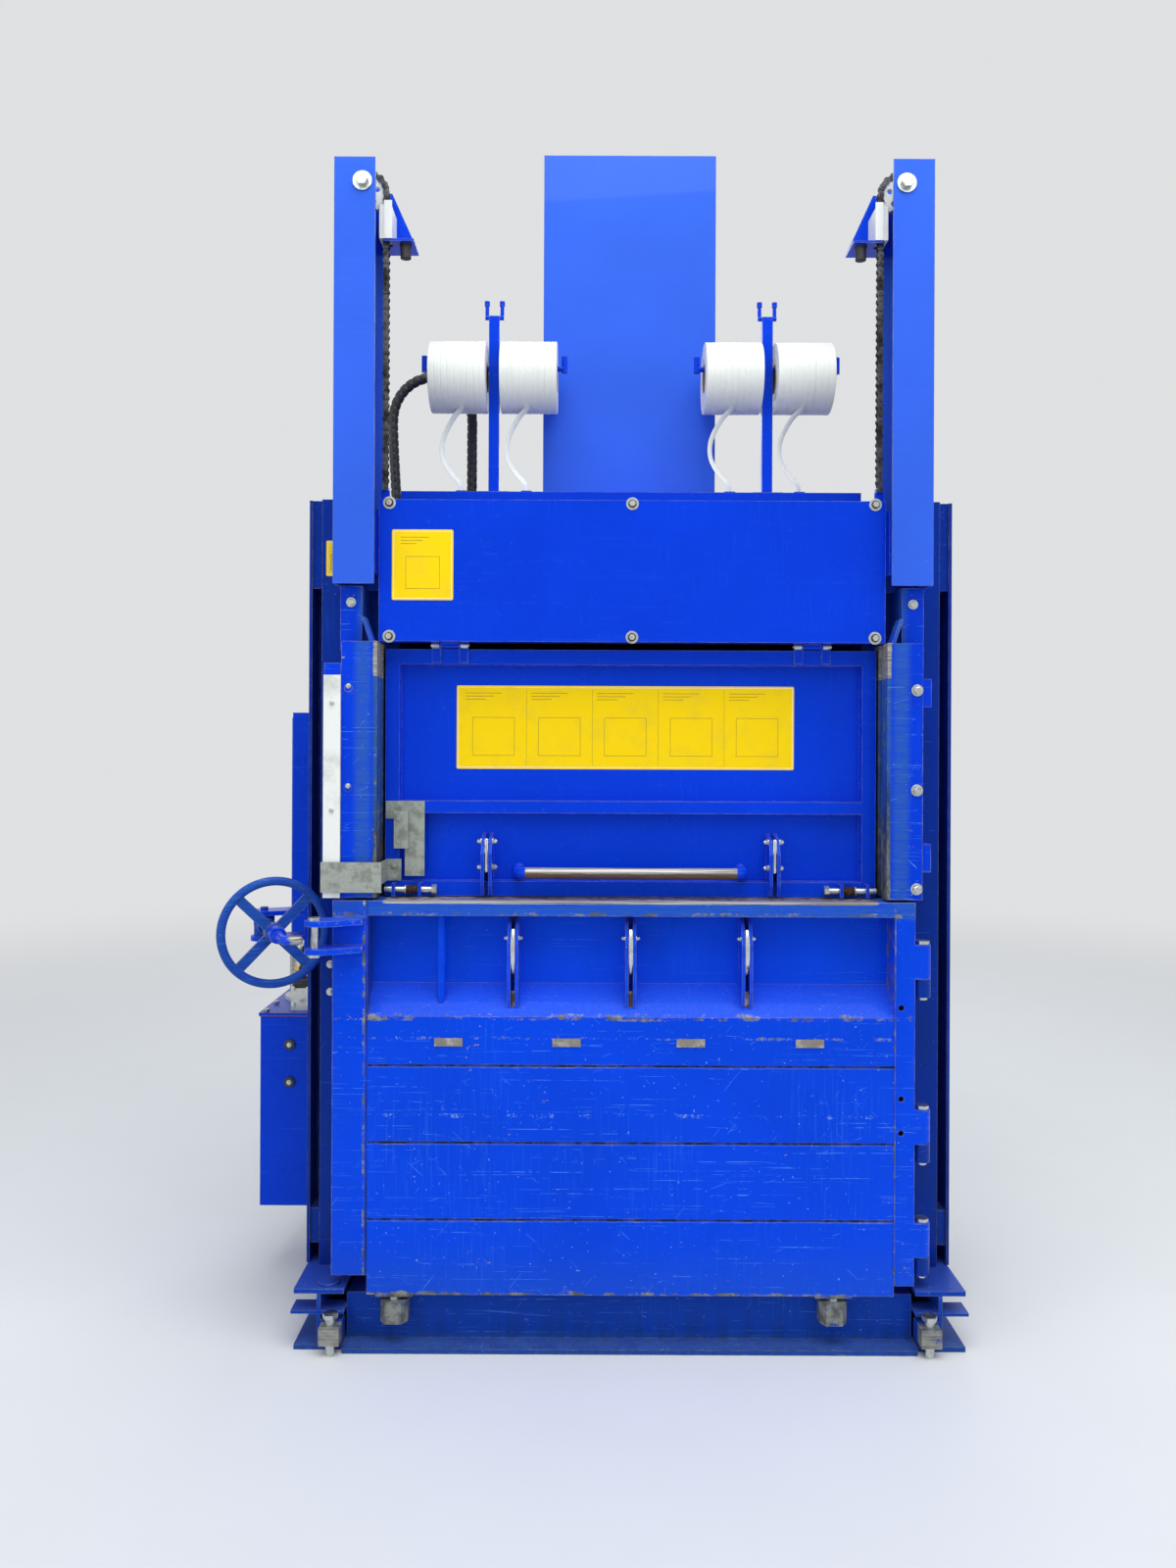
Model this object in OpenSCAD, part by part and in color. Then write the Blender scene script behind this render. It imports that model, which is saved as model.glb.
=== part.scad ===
// Vertical recycling baler with a sliding loading door, a side-hung bale door and a strap store.
// Millimetres. X runs across the front, -Y is the front, Z is up and Z = 0 is the floor.
// The origin is on the floor below the middle of the press chamber.

/* [Press chamber] */
// Clear width of the chamber
chamber_w = 1200; // [1100:10:1300]
// Clear depth of the chamber
chamber_d = 700; // [640:10:800]
// Thickness of the chamber sheets
sheet_t = 8; // [6:1:10]
// Top of the side walls above the floor
wall_top = 2133; // [2100:1:2200]
// Width of the box column beside the chamber
column_w = 192; // [160:1:220]
// Depth of the box column
column_d = 105; // [90:1:120]
// Sheet thickness of the box column
column_t = 6; // [4:1:8]
// Width of the groove outside each box column
recess_w = 28; // [20:1:40]
// How far the outer flange stays behind the column face
flange_back = 15; // [10:1:25]
// Height of a stiffening rib
rib_h = 90; // [60:5:120]
// How far the side ribs stand out from the chamber sheet
side_rib_d = 112; // [90:1:120]
// How far the rear ribs stand out from the rear sheet
rear_rib_d = 72; // [50:1:90]
// Number of ribs one above the other
rib_count = 5; // [3:1:6]
// Height of the closing block at the top of the groove
top_block_h = 228; // [150:1:260]
// Height of the closing block at the bottom of the groove
low_block_h = 90; // [60:1:120]

/* [Base] */
// Height of the front, rear and centre cross members
base_h = 125; // [110:1:140]
// Height of the side beams
side_beam_h = 150; // [145:1:156]
// Width of a side beam
side_beam_w = 124; // [100:1:124]
// Flange thickness of the side beams
beam_flange_t = 12; // [8:1:16]
// Web thickness of the side beams
beam_web_t = 9; // [6:1:12]
// How far the side beams reach in front of the chamber
base_front = 130; // [126:1:150]
// How far the side beams reach behind the chamber
base_rear = 80; // [76:1:100]
// Plate thickness of the cross members
cross_t = 12; // [8:1:14]
// Width of the centre cross member
centre_w = 100; // [80:1:140]
// Depth of the foot flange on the front member
foot_flange_d = 60; // [40:1:64]
// Height of a levelling block
level_block_h = 44; // [36:1:50]
// Width of a levelling block
level_block_w = 50; // [44:1:60]
// Radius of a levelling screw
level_screw_r = 12; // [8:1:14]
// Length of a levelling screw below its head
level_screw_l = 92; // [86:1:110]

/* [Bale door] */
// Left edge of the bale door from the centre plane
door_left = 741; // [735:1:744]
// Right edge of the bale door from the centre plane
door_right = 705; // [690:1:706]
// Depth of the bale door
door_d = 125; // [115:1:126]
// Underside of the bale door
door_bottom = 134; // [132:1:150]
// Top of the bale door
door_top = 1111; // [1080:1:1113]
// Width of the left stile
left_stile_w = 88; // [70:1:100]
// Width of the right stile
right_stile_w = 50; // [40:1:60]
// Underside of the left stile
left_stile_bottom = 182; // [158:1:200]
// Underside of the right stile
right_stile_bottom = 160; // [158:1:200]
// Sheet thickness of the bale door
door_t = 6; // [4:1:8]
// Top of the plank wall, where the slope of the recess starts
slope_bottom = 824; // [780:1:840]
// Top of the slope
slope_top = 894; // [870:1:920]
// Depth of the strap recess
recess_d = 75; // [50:1:90]
// Height of the top rail
rail_h = 37; // [30:1:60]
// Height of the uppermost plank groove
groove_top = 704; // [680:1:720]
// Pitch of the plank grooves
groove_pitch = 191; // [170:1:200]
// Number of plank grooves
groove_count = 3; // [2:1:3]
// Height of a plank groove
groove_h = 4; // [3:1:10]
// Depth of a plank groove and radius of the plank edges beside it
groove_d = 4; // [2:1:5]
// Gap between the two plates of a strap guide
guide_gap = 11; // [8:1:16]
// Plate thickness of a strap guide
guide_t = 8; // [5:1:10]
// Radius of the tube in the recess
recess_tube_r = 11; // [8:1:14]

/* [Bale door hinge and lock] */
// Hinge axis to the right of the bale door
hinge_gap_x = 23; // [22:1:26]
// Hinge axis behind the face of the bale door
hinge_in_y = 20; // [18:1:24]
// Radius of a hinge knuckle
knuckle_r = 20; // [18:1:20]
// Height of a knuckle on the door
knuckle_h = 85; // [60:1:100]
// Height of a knuckle on the frame
frame_knuckle_h = 45; // [30:1:60]
// Radius of a hinge pin
hinge_pin_r = 12; // [8:1:14]
// Height of the lock above the floor
lock_z = 1028; // [980:1:1040]
// Half the clear height inside the lock fork
fork_half = 27; // [25:1:32]
// Plate thickness of the lock fork
fork_t = 12; // [8:1:14]
// Radius of the trunnion pivots
trunnion_pin_r = 10; // [8:1:12]
// Outer radius of the handwheel rim
wheel_r = 139; // [120:1:142]
// Radius of the rim's round bar
rim_r = 11; // [8:1:12]
// Distance from the trunnion to the middle of the handwheel
wheel_out = 140; // [136:1:150]
// Radius of the threaded spindle
spindle_r = 12; // [10:1:14]
// Radius of the hook's round bar
hook_r = 11; // [9:1:12]
// Radius of the lock pin in the door lugs
lock_pin_r = 10; // [8:1:11]
// Angle between the modelled, just released hook and the hooked position
lock_release = 12; // [12:1:20]

/* [Loading door] */
// Half width of the header panel
header_half = 636; // [630:1:637]
// Underside of the header panel
header_bottom = 1758; // [1756:1:1770]
// Top of the header panel
header_top = 2114; // [2090:1:2120]
// Depth of the header's folded edge
header_d = 44; // [36:1:44]
// Sheet thickness of the header
header_t = 6; // [4:1:8]
// Half width of the flap
flap_half = 626; // [615:1:630]
// Underside of the flap
flap_bottom = 1113; // [1112:1:1120]
// Top of the flap
flap_top = 1742; // [1720:1:1743]
// Depth of the flap's frame
flap_d = 40; // [30:1:42]
// Thickness of the flap's sheet
flap_skin = 8; // [5:1:10]
// Width of the flap's stiles
flap_stile = 36; // [30:1:45]
// Height of the flap's top and bottom rails
flap_rail = 38; // [34:1:42]
// Middle of the flap's cross rail
flap_mid = 1340; // [1300:1:1400]
// Height of the flap's cross rail
flap_mid_h = 31; // [24:1:40]
// Radius of the flap hinge barrel
barrel_r = 8; // [7:1:8]
// Length of a flap hinge
barrel_l = 92; // [80:1:110]
// Flap hinges to either side of the centre plane
flap_hinge_x = 462; // [400:1:500]
// Radius of the flap hinge pins
flap_pin_r = 4; // [3:0.5:5]
// Half the length of the push handle
handle_half = 286; // [240:1:300]
// Radius of the push handle
handle_r = 14; // [12:1:16]
// Height of the push handle
handle_z = 1176; // [1170:1:1190]
// How far the handle stands in front of the flap's sheet
handle_out = 72; // [60:1:90]
// Radius of the spring bolts
bolt_r = 8; // [6:1:9]
// Travel of the spring bolts
bolt_travel = 22; // [15:1:26]
// Travel of the loading door
door_travel = 610; // [560:1:612]

/* [Guides and posts] */
// Inner face of the guide columns from the centre plane
guide_in = 633; // [632:1:640]
// Outer face of the guide columns
guide_out = 722; // [710:1:730]
// Underside of the guide columns
guide_bottom = 1118; // [1115:1:1130]
// Top of the guide columns
guide_top = 1755; // [1745:1:1757]
// Plate thickness of the guide columns
guide_plate = 8; // [6:1:10]
// Width of the white glide strip
strip_w = 42; // [30:1:46]
// Thickness of the glide strip
strip_t = 6; // [4:1:8]
// Top of the glide strip
strip_top = 1670; // [1600:1:1700]
// Width of the bolt groove in the guide columns
bolt_groove = 34; // [24:1:40]
// Underside of the upper posts
post_bottom = 1896; // [1880:1:1900]
// Top of the upper posts
post_top = 2950; // [2945:1:3000]
// Inner edge of the upper posts from the centre plane
post_in = 640; // [639:1:646]
// Outer face of the upper posts
post_out = 742; // [738:1:748]
// Plate thickness of the upper posts
post_t = 6; // [4:1:6]
// How far the posts stand in front of the bale door
post_proud = 12; // [8:1:20]
// Height of the pulley axles
pulley_z = 2890; // [2880:1:2895]
// Pulley axles from the centre plane
pulley_x = 672; // [670:1:674]
// Radius at which the chain runs on the pulley
pulley_r = 48.8; // [48:0.2:50]
// Thickness of a pulley
pulley_t = 10.5; // [9:0.5:10.5]
// Radius of the pulley axles
axle_r = 10; // [8:1:12]
// Chain pitch
chain_pitch = 19.05; // [15.875:0.005:25.4]
// Height of the chain plates
chain_plate_h = 17; // [13:1:17]
// Thickness of a chain plate
chain_plate_t = 2; // [1.5:0.5:2.5]
// Underside of the rubber bumpers
bumper_bottom = 2727; // [2726:1:2740]
// Radius of the rubber bumpers
bumper_r = 13.5; // [10:0.5:16]
// Height of the rubber bumpers
bumper_h = 35; // [25:1:35]
// Length of a counterweight
weight_l = 254; // [200:1:256]

/* [Press] */
// Outer radius of the cylinder
cylinder_r = 75; // [70:1:90]
// Inner radius of the cylinder
bore_r = 60; // [50:1:66]
// Radius of the piston rod
rod_r = 40; // [30:1:45]
// Underside of the cylinder
cylinder_bottom = 1950; // [1940:1:1960]
// Top of the cylinder
cylinder_top = 3080; // [3000:1:3090]
// Underside of the press plate when it is up
plate_bottom = 1800; // [1790:1:1810]
// Height of the press plate
plate_h = 80; // [60:1:90]
// Gap between the press plate and the chamber
plate_gap = 10; // [6:1:15]
// Half width of the cylinder cover
cover_half = 236; // [200:1:240]
// Half depth of the cylinder cover
cover_y = 160; // [140:1:165]
// Top of the cylinder cover
cover_top = 3120; // [3080:1:3140]
// Sheet thickness of the cylinder cover
cover_t = 4; // [3:1:6]
// Top of the head beams
head_top = 2160; // [2150:1:2180]
// Height of the head beams
head_h = 200; // [160:1:200]
// Width of a head beam
head_w = 100; // [80:1:110]

/* [Strap store] */
// Strap stands from the centre plane
stand_x = 362; // [350:1:370]
// Width of the square stand tube
stand_w = 28; // [20:1:34]
// Height of the strap axle
strap_axle_z = 2500; // [2480:1:2520]
// Radius of the strap axle
strap_axle_r = 7; // [5:1:9]
// Half the length of the strap axle
strap_axle_half = 194; // [190:1:200]
// Top of the fork
fork_top = 2678; // [2640:1:2690]
// Outer radius of a strap roll
roll_r = 93; // [80:1:93]
// Radius of the bore of a strap roll
roll_bore = 32; // [25:1:40]
// Width of a strap roll
roll_w = 150; // [120:1:155]
// Middle of a strap roll from its stand
roll_x = 93; // [92:1:95]

/* [Power unit] */
// Left face of the oil tank from the centre plane
tank_left = 1022; // [1000:1:1050]
// Right face of the oil tank from the centre plane
tank_right = 845; // [842:1:850]
// Front of the oil tank
tank_front = 100; // [60:1:120]
// Depth of the oil tank
tank_d = 340; // [300:1:350]
// Underside of the oil tank
tank_bottom = 209; // [180:1:240]
// Top of the oil tank
tank_top = 740; // [700:1:760]
// Top of the control cabinet
cabinet_top = 1593; // [1500:1:1650]
// Height of the control cabinet
cabinet_h = 680; // [500:1:690]

/* [Hidden] */
$fn = 48;

// Clearances
run_fit = 0.05;
seat_gap = 0.3;
free_gap = 3;

// Planes and places that several pieces share
wall_in = chamber_w / 2;
front_y = -chamber_d / 2;
back_y = chamber_d / 2;
column_face = front_y + 5;
column_out = wall_in + sheet_t + column_w;
flange_in = column_out + recess_w;
flange_out = flange_in + sheet_t;
flange_front = column_face + flange_back;
floor_top = base_h + sheet_t;
beam_in = door_right + 3;
beam_mid = beam_in + side_beam_w / 2;
base_y0 = front_y - base_front;
base_y1 = back_y + base_rear;
front_web_y = base_y0 + 40;
rear_web_y = base_y1 - cross_t;
door_face = front_y - door_d;
panel_left = door_left - left_stile_w;
panel_right = door_right - right_stile_w;
hinge_x = door_right + hinge_gap_x;
hinge_y = door_face + hinge_in_y;
hinge_zs = [230, 511, 921];
rib_step = (wall_top - 2 * rib_h - side_beam_h - 60) / (rib_count - 1);
rib_zs = [for (i = [0 : rib_count - 1]) side_beam_h + 60 + i * rib_step];

// The lock turns about the trunnion; its own x axis points from there along the spindle
trunnion = [-950, -328];
lock_angle = -53.13 - lock_release;
lug_z = fork_half + fork_t / 2 + 1;
lug_t = 14;
pin_along = 264;
pin_aside = 23.4;
pin_xy = trunnion + [0.6 * pin_along + 0.8 * pin_aside, -0.8 * pin_along + 0.6 * pin_aside];
collar_r = 21;
hub_r = 24;
hub_l = 40;
spindle_back = 60;
journal_end = wheel_out + hub_l / 2 + 26;
hook_turn = pin_along + lock_pin_r + seat_gap + hook_r;
hook_reach = pin_aside + 20;

// Loading door
header_y = door_face + 35;
header_back = header_y + header_d;
flap_back = column_face - free_gap;
flap_y = flap_back - flap_d;
flap_axis = [flap_y - 2, flap_top + 10];
lug_y = -420;
chain_x = pulley_x - pulley_r;
lug_top = header_top + 26;
bolt_y = flap_y - 15;
bolt_z = 1131;
bolt_bracket_x = [534, 600];
bolt_in = 492;
bracket_t = 8;

// Posts, chain and counterweight
post_y0 = door_face - post_proud;
post_y1 = column_face;
chain_gap = pulley_t + 1;
roller_r = 6;
sleeve_r = 16;
chain_pin_r = 3;
wrap_links = round(180 / (2 * asin(chain_pitch / 2 / pulley_r)));
weight_top = pulley_z - pulley_r - 50;
weight_w = 36;
weight_d = 108;
weight_x = pulley_x + pulley_r - 9;

// Press and roof
head_y = -chamber_d / 2 + 25;
plate_front = flap_back + 8;
stand_y = -262;
eye_y = stand_y - 12;
roll_z = strap_axle_z + strap_axle_r + seat_gap - roll_bore;
strap_w = 14;
strap_t = 1.4;
hose_r = 14;

// Points of the four strap ends, from the strap roll down to the eye on the head beam
strap_pts = [
    [0, -309.8, 2392.7], [0, -294.8, 2384], [-18, -282, 2368], [-36, -275, 2340], [-50, -273, 2306],
    [-52, -273, 2270], [-40, -274, 2236], [-18, -274, 2208], [-3, -274, 2190], [0, -274, 2166]
];
strap_ends = [-stand_x - roll_x + 8, -stand_x + roll_x - 6, stand_x - roll_x - 6, stand_x + roll_x - 8];

// The hose rises from the port on the left wall, loops over, comes down and turns to the cylinder
hose_start = [-640, -140, 2063];
hose_end = [-101, 0, 2020];
hose_left = -651;
hose_out = 45;
hose_rise_z = hose_start[2] + hose_out;
hose_loop_w = 109;
hose_loop_h = 118;
hose_loop_z = 2396;
hose_turn_r = 130;
hose_aim = 29;
hose_last_r = 180;
hose_mid = hose_left + hose_loop_w;
hose_down = hose_mid + hose_loop_w;
hose_low = hose_end[2] + hose_turn_r;
// Plan place on the way to the cylinder, a distance d from the foot of the downward run
function hose_way(d) = [hose_down + d * cos(hose_aim), hose_start[1] + d * sin(hose_aim)];
// Plan distance at which the last bend starts, so that it ends in line with the port
hose_reach = (-hose_start[1] - hose_last_r * (1 - cos(hose_aim))) / sin(hose_aim);
hose_pts = concat(
    [hose_start],
    [for (t = [0 : 0.2 : 1]) [hose_start[0] + (hose_left - hose_start[0]) * t * t * (3 - 2 * t), hose_start[1],
        hose_rise_z + (hose_loop_z - hose_rise_z) * t]],
    [for (a = [160 : -20 : 0])
        [hose_mid + hose_loop_w * cos(a), hose_start[1], hose_loop_z + hose_loop_h * sin(a)]],
    [for (t = [1 : 4]) [hose_down, hose_start[1], hose_loop_z - (hose_loop_z - hose_low) * t / 5]],
    [for (a = [0 : 22.5 : 90]) let (p = hose_way(hose_turn_r * (1 - cos(a))))
        [p[0], p[1], hose_low - hose_turn_r * sin(a)]],
    [for (d = [(hose_turn_r + hose_reach) / 2, hose_reach]) [hose_way(d)[0], hose_way(d)[1], hose_end[2]]],
    [for (a = [hose_aim / 2, 0])
        [hose_way(hose_reach)[0] + hose_last_r * (sin(hose_aim) - sin(a)), hose_last_r * (cos(a) - 1), hose_end[2]]],
    [hose_end]
);

blue = [0.09, 0.20, 0.72];
deep_blue = [0.06, 0.13, 0.52];
zinc = [0.72, 0.74, 0.74];
steel = [0.55, 0.56, 0.58];
white = [0.93, 0.93, 0.91];
black = [0.07, 0.07, 0.08];
rust = [0.38, 0.26, 0.18];

// Helpers

// A box from its lowest to its highest corner
module block(a, b) {
    translate(a) cube(b - a);
}

// A round bar between two heights on a vertical axis
module post_bar(x, y, z0, z1, r) {
    translate([x, y, z0]) cylinder(r = r, h = z1 - z0);
}

// A round bar that runs along X
module x_bar(x0, x1, y, z, r) {
    translate([x0, y, z]) rotate([0, 90, 0]) cylinder(r = r, h = x1 - x0);
}

// A round bar that runs along Y
module y_bar(x, y0, y1, z, r) {
    translate([x, y1, z]) rotate([90, 0, 0]) cylinder(r = r, h = y1 - y0);
}

// A plan outline drawn in x and y and raised from z0 to z1
module raised(z0, z1) {
    translate([0, 0, z0]) linear_extrude(z1 - z0) children();
}

// A side outline drawn in y and z and stretched along X
module along_x(x0, x1) {
    translate([x0, 0, 0]) rotate([90, 0, 90]) linear_extrude(x1 - x0) children();
}

// A front outline drawn in x and z and stretched along Y
module along_y(y0, y1) {
    translate([0, y1, 0]) rotate([90, 0, 0]) linear_extrude(y1 - y0) children();
}

// A flat rectangle from one corner to the other
module area(a, b) {
    translate(a) square(b - a);
}

// The same piece on the left side, mirrored
module on_left() {
    mirror([1, 0, 0]) children();
}

// A hexagonal bolt head or nut with its washer, seen from the front, standing out towards -Y
module front_bolt(x, z, face, r) {
    y_bar(x, face - 2, face, z, r * 1.5);
    translate([x, face - 2, z]) rotate([90, 0, 0]) cylinder(r = r, h = r * 0.8, $fn = 6);
}

// A tube swept along points; across and thick are its full width and thickness
function unit(v) = v / norm(v);
function path_dir(p, i) = unit(p[min(i + 1, len(p) - 1)] - p[max(i - 1, 0)]);
function side_dir(t, up) = unit(cross(t, up));
function ring(p, i, a, b, up, n) =
    let (t = path_dir(p, i), s = side_dir(t, up), u = cross(s, t))
    [for (k = [0 : n - 1]) p[i] + s * a / 2 * cos(360 * k / n) + u * b / 2 * sin(360 * k / n)];

module sweep(p, across, thick, up, n = 8) {
    last = len(p) - 1;
    points = [for (i = [0 : last]) each ring(p, i, across, thick, up, n)];
    sides = [for (i = [0 : last - 1], k = [0 : n - 1])
        [i * n + k, i * n + (k + 1) % n, (i + 1) * n + (k + 1) % n, (i + 1) * n + k]];
    polyhedron(points, concat(sides, [[for (k = [n - 1 : -1 : 0]) k]],
        [[for (k = [0 : n - 1]) last * n + k]]));
}

// Base

// Half of an I section, drawn across X and up Z
module beam_section() {
    area([-side_beam_w / 2, 0], [side_beam_w / 2, beam_flange_t]);
    area([-side_beam_w / 2, side_beam_h - beam_flange_t], [side_beam_w / 2, side_beam_h]);
    area([-beam_web_t / 2, 0], [beam_web_t / 2, side_beam_h]);
}

module side_beam() {
    translate([beam_mid, 0, 0]) along_y(base_y0, base_y1) beam_section();
    // Stiffener plate half-way up the front end, and one at the rear end
    for (y = [base_y0, base_y1 - 60])
        block([beam_in, y, 88], [beam_in + side_beam_w + 8, y + 60, 96]);
}

module level_block(y) {
    x = beam_in + 3 + level_block_w / 2;
    difference() {
        block([x - level_block_w / 2, y - 22, 29], [x + level_block_w / 2, y + 22, 29 + level_block_h]);
        post_bar(x, y, 28, 30 + level_block_h, level_screw_r + run_fit);
    }
    // Arm between the flanges, welded to the web of the side beam
    arm_y = y < 0 ? base_y0 : base_y1 - 30;
    block([x - level_block_w / 2, arm_y, 29], [beam_mid, arm_y + 30, 29 + level_block_h]);
}

module cross_member(y0, y1) {
    difference() {
        block([-beam_in, y0, 0], [beam_in, y1, base_h]);
        block([-beam_in - 1, y0 + cross_t, cross_t], [beam_in + 1, y1 - cross_t, base_h - cross_t]);
    }
}

module door_rest(x) {
    difference() {
        translate([0, 0, 65]) linear_extrude(54) polygon([
            [x - 34, front_web_y], [x - 34, front_web_y - 26], [x - 20, front_web_y - 46],
            [x + 20, front_web_y - 46], [x + 34, front_web_y - 26], [x + 34, front_web_y]
        ]);
        post_bar(x, front_web_y - 22, 64, 120, 9 + run_fit);
    }
}

door_rest_x = [-585, 506];

module base_frame() {
    color(deep_blue) {
        side_beam();
        on_left() side_beam();
        for (y = [base_y0 - 22, base_y1 + 22]) {
            level_block(y);
            on_left() level_block(y);
        }
        // Front member: web, foot flange in front, top flange behind
        block([-beam_in, front_web_y, 0], [beam_in, front_web_y + cross_t, base_h]);
        block([-beam_in, front_web_y - foot_flange_d, 0], [beam_in, front_web_y, cross_t]);
        block([-beam_in, front_web_y, base_h - cross_t], [beam_in, front_y + 60, base_h]);
        // Rear member
        block([-beam_in, rear_web_y, 0], [beam_in, base_y1, base_h]);
        block([-beam_in, back_y - 60, base_h - cross_t], [beam_in, base_y1, base_h]);
        cross_member(-centre_w / 2, centre_w / 2);
        for (x = door_rest_x) door_rest(x);
        // Gusset plates between the front member and the cross member
        for (x = [-400, 0, 400])
            block([x - 5, front_web_y + cross_t, cross_t], [x + 5, -centre_w / 2, base_h - cross_t]);
        for (x = [-400, 0, 400])
            block([x - 5, centre_w / 2, cross_t], [x + 5, rear_web_y, base_h - cross_t]);
        // Small pivot plate on the left front corner
        raised(side_beam_h, side_beam_h + 8) translate([-752, -450]) circle(r = 26);
    }
}

module adjusting_screw(x, y, z0, z1, r) {
    post_bar(x, y, z0, z1, r);
    translate([x, y, z1 - 2]) cylinder(r = r * 1.6, h = r * 0.9, $fn = 6);
}

module adjusting_screws() {
    x = beam_in + 3 + level_block_w / 2;
    color(zinc) {
        for (sx = [-x, x], y = [base_y0 - 22, base_y1 + 22])
            adjusting_screw(sx, y, 0, level_screw_l, level_screw_r);
        for (sx = door_rest_x) {
            post_bar(sx, front_web_y - 22, 60, 122, 9);
            translate([sx, front_web_y - 22, 119 + seat_gap]) cylinder(r = 15, h = 8, $fn = 6);
        }
    }
}

module chamber_floor() {
    color(steel) block([-wall_in, front_y + 1, base_h], [wall_in, back_y, floor_top]);
}

// Chamber walls

module column_plan() {
    difference() {
        area([wall_in + sheet_t, column_face], [column_out, column_face + column_d]);
        area([wall_in + sheet_t + column_t, column_face + column_t],
            [column_out - column_t, column_face + column_d - column_t]);
    }
    area([column_out, column_face + column_d - sheet_t], [flange_out, column_face + column_d]);
    area([flange_in, flange_front], [flange_out, column_face + column_d]);
}

module groove_block(z0, z1) {
    block([column_out, flange_front + 6, z0], [flange_in, column_face + column_d - sheet_t, z1]);
}

module box_column() {
    raised(side_beam_h, wall_top) column_plan();
    // Plates that close the box at both ends
    for (z = [side_beam_h, wall_top - column_t])
        raised(z, z + column_t) area([wall_in + sheet_t, column_face], [column_out, column_face + column_d]);
    groove_block(wall_top - top_block_h, wall_top);
    groove_block(side_beam_h + 50, side_beam_h + 50 + low_block_h);
}

module side_wall() {
    block([wall_in, column_face, base_h], [wall_in + sheet_t, back_y, wall_top]);
    box_column();
    mirror([0, 1, 0]) box_column();
    for (z = rib_zs)
        difference() {
            block([wall_in + sheet_t, column_face + column_d, z],
                [wall_in + sheet_t + side_rib_d, -column_face - column_d, z + rib_h]);
            block([wall_in + sheet_t, column_face + column_d + column_t, z + column_t],
                [wall_in + sheet_t + side_rib_d - column_t, -column_face - column_d - column_t,
                    z + rib_h - column_t]);
        }
}

// Knuckles of the bale door hinge that stand on the right-hand column
module frame_knuckles() {
    difference() {
        for (z = hinge_zs) {
            post_bar(hinge_x, hinge_y, z - frame_knuckle_h - 1, z - 1, knuckle_r);
            block([hinge_x - 14, hinge_y, z - frame_knuckle_h - 1], [hinge_x + knuckle_r, column_face, z - 1]);
        }
        for (z = hinge_zs)
            post_bar(hinge_x, hinge_y, z - frame_knuckle_h - 2, z, hinge_pin_r + run_fit);
    }
}

module right_side_wall() {
    color(blue) {
        side_wall();
        frame_knuckles();
    }
}

// The shelf under the oil tank and the rails behind the cabinet are welded to the left wall
module left_side_wall() {
    port_z = rib_zs[rib_count - 1] + rib_h;
    color(blue) {
        on_left() side_wall();
        // Port that the hydraulic hose starts from
        post_bar(hose_pts[0][0], hose_pts[0][1], port_z, port_z + 20, hose_r + 4);
        rib_face = -wall_in - sheet_t - side_rib_d;
        for (y = [-tank_front + 30, -tank_front + tank_d - 60]) {
            block([-tank_left + 8, y, tank_bottom - 10], [rib_face, y + 30, tank_bottom]);
            block([rib_face - 10, y, tank_bottom - 10], [rib_face, y + 30, rib_zs[0] + rib_h]);
        }
    }
}

module rear_wall() {
    color(blue) {
        block([-wall_in - sheet_t, back_y, base_h], [wall_in + sheet_t, back_y + sheet_t, wall_top]);
        for (z = rib_zs)
            difference() {
                block([-wall_in, back_y + sheet_t, z], [wall_in, back_y + sheet_t + rear_rib_d - 2, z + rib_h]);
                block([-wall_in + column_t, back_y + sheet_t, z + column_t],
                    [wall_in - column_t, back_y + sheet_t + rear_rib_d - 2 - column_t, z + rib_h - column_t]);
            }
    }
}

// Roof: two head beams across the chamber, and two short ones that carry the cylinder
module head_beams() {
    carrier_in = cylinder_r + 30;
    color(blue) difference() {
        union() {
            for (m = [0, 1]) mirror([0, m, 0]) difference() {
                block([-wall_in, head_y, head_top - head_h], [wall_in, head_y + head_w, head_top]);
                block([-wall_in - 1, head_y + sheet_t, head_top - head_h + sheet_t],
                    [wall_in + 1, head_y + head_w - sheet_t, head_top - sheet_t]);
            }
            for (x = [-carrier_in - 70, carrier_in])
                block([x, head_y + head_w, head_top - 110], [x + 70, -head_y - head_w, head_top]);
            block([-carrier_in, head_y + head_w, head_top - 20], [carrier_in, -head_y - head_w, head_top]);
            // Eyes that the straps run through
            for (x = strap_ends) block([x - 14, eye_y - 8, head_top], [x + 14, eye_y + 8, head_top + 12]);
        }
        post_bar(0, 0, head_top - 21, head_top + 1, cylinder_r + seat_gap);
        for (x = strap_ends)
            block([x - 9, eye_y - 3, head_top - sheet_t - 1], [x + 9, eye_y + 3, head_top + 13]);
    }
}

// Guide columns beside the loading opening

module guide_plan() {
    groove_y = bolt_y - bolt_groove / 2;
    area([guide_in, door_face], [guide_out, door_face + guide_plate]);
    area([guide_out - guide_plate, door_face], [guide_out, column_face]);
    area([guide_in, door_face], [guide_in + guide_plate, groove_y]);
    area([guide_in, groove_y + bolt_groove], [guide_in + guide_plate, column_face]);
    area([guide_in, column_face - guide_plate], [guide_out, column_face]);
    // Lips that stiffen the edges of the bolt groove
    area([guide_in, groove_y - 5], [guide_in + 20, groove_y]);
    area([guide_in, groove_y + bolt_groove], [guide_in + 20, groove_y + bolt_groove + 5]);
}

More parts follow.
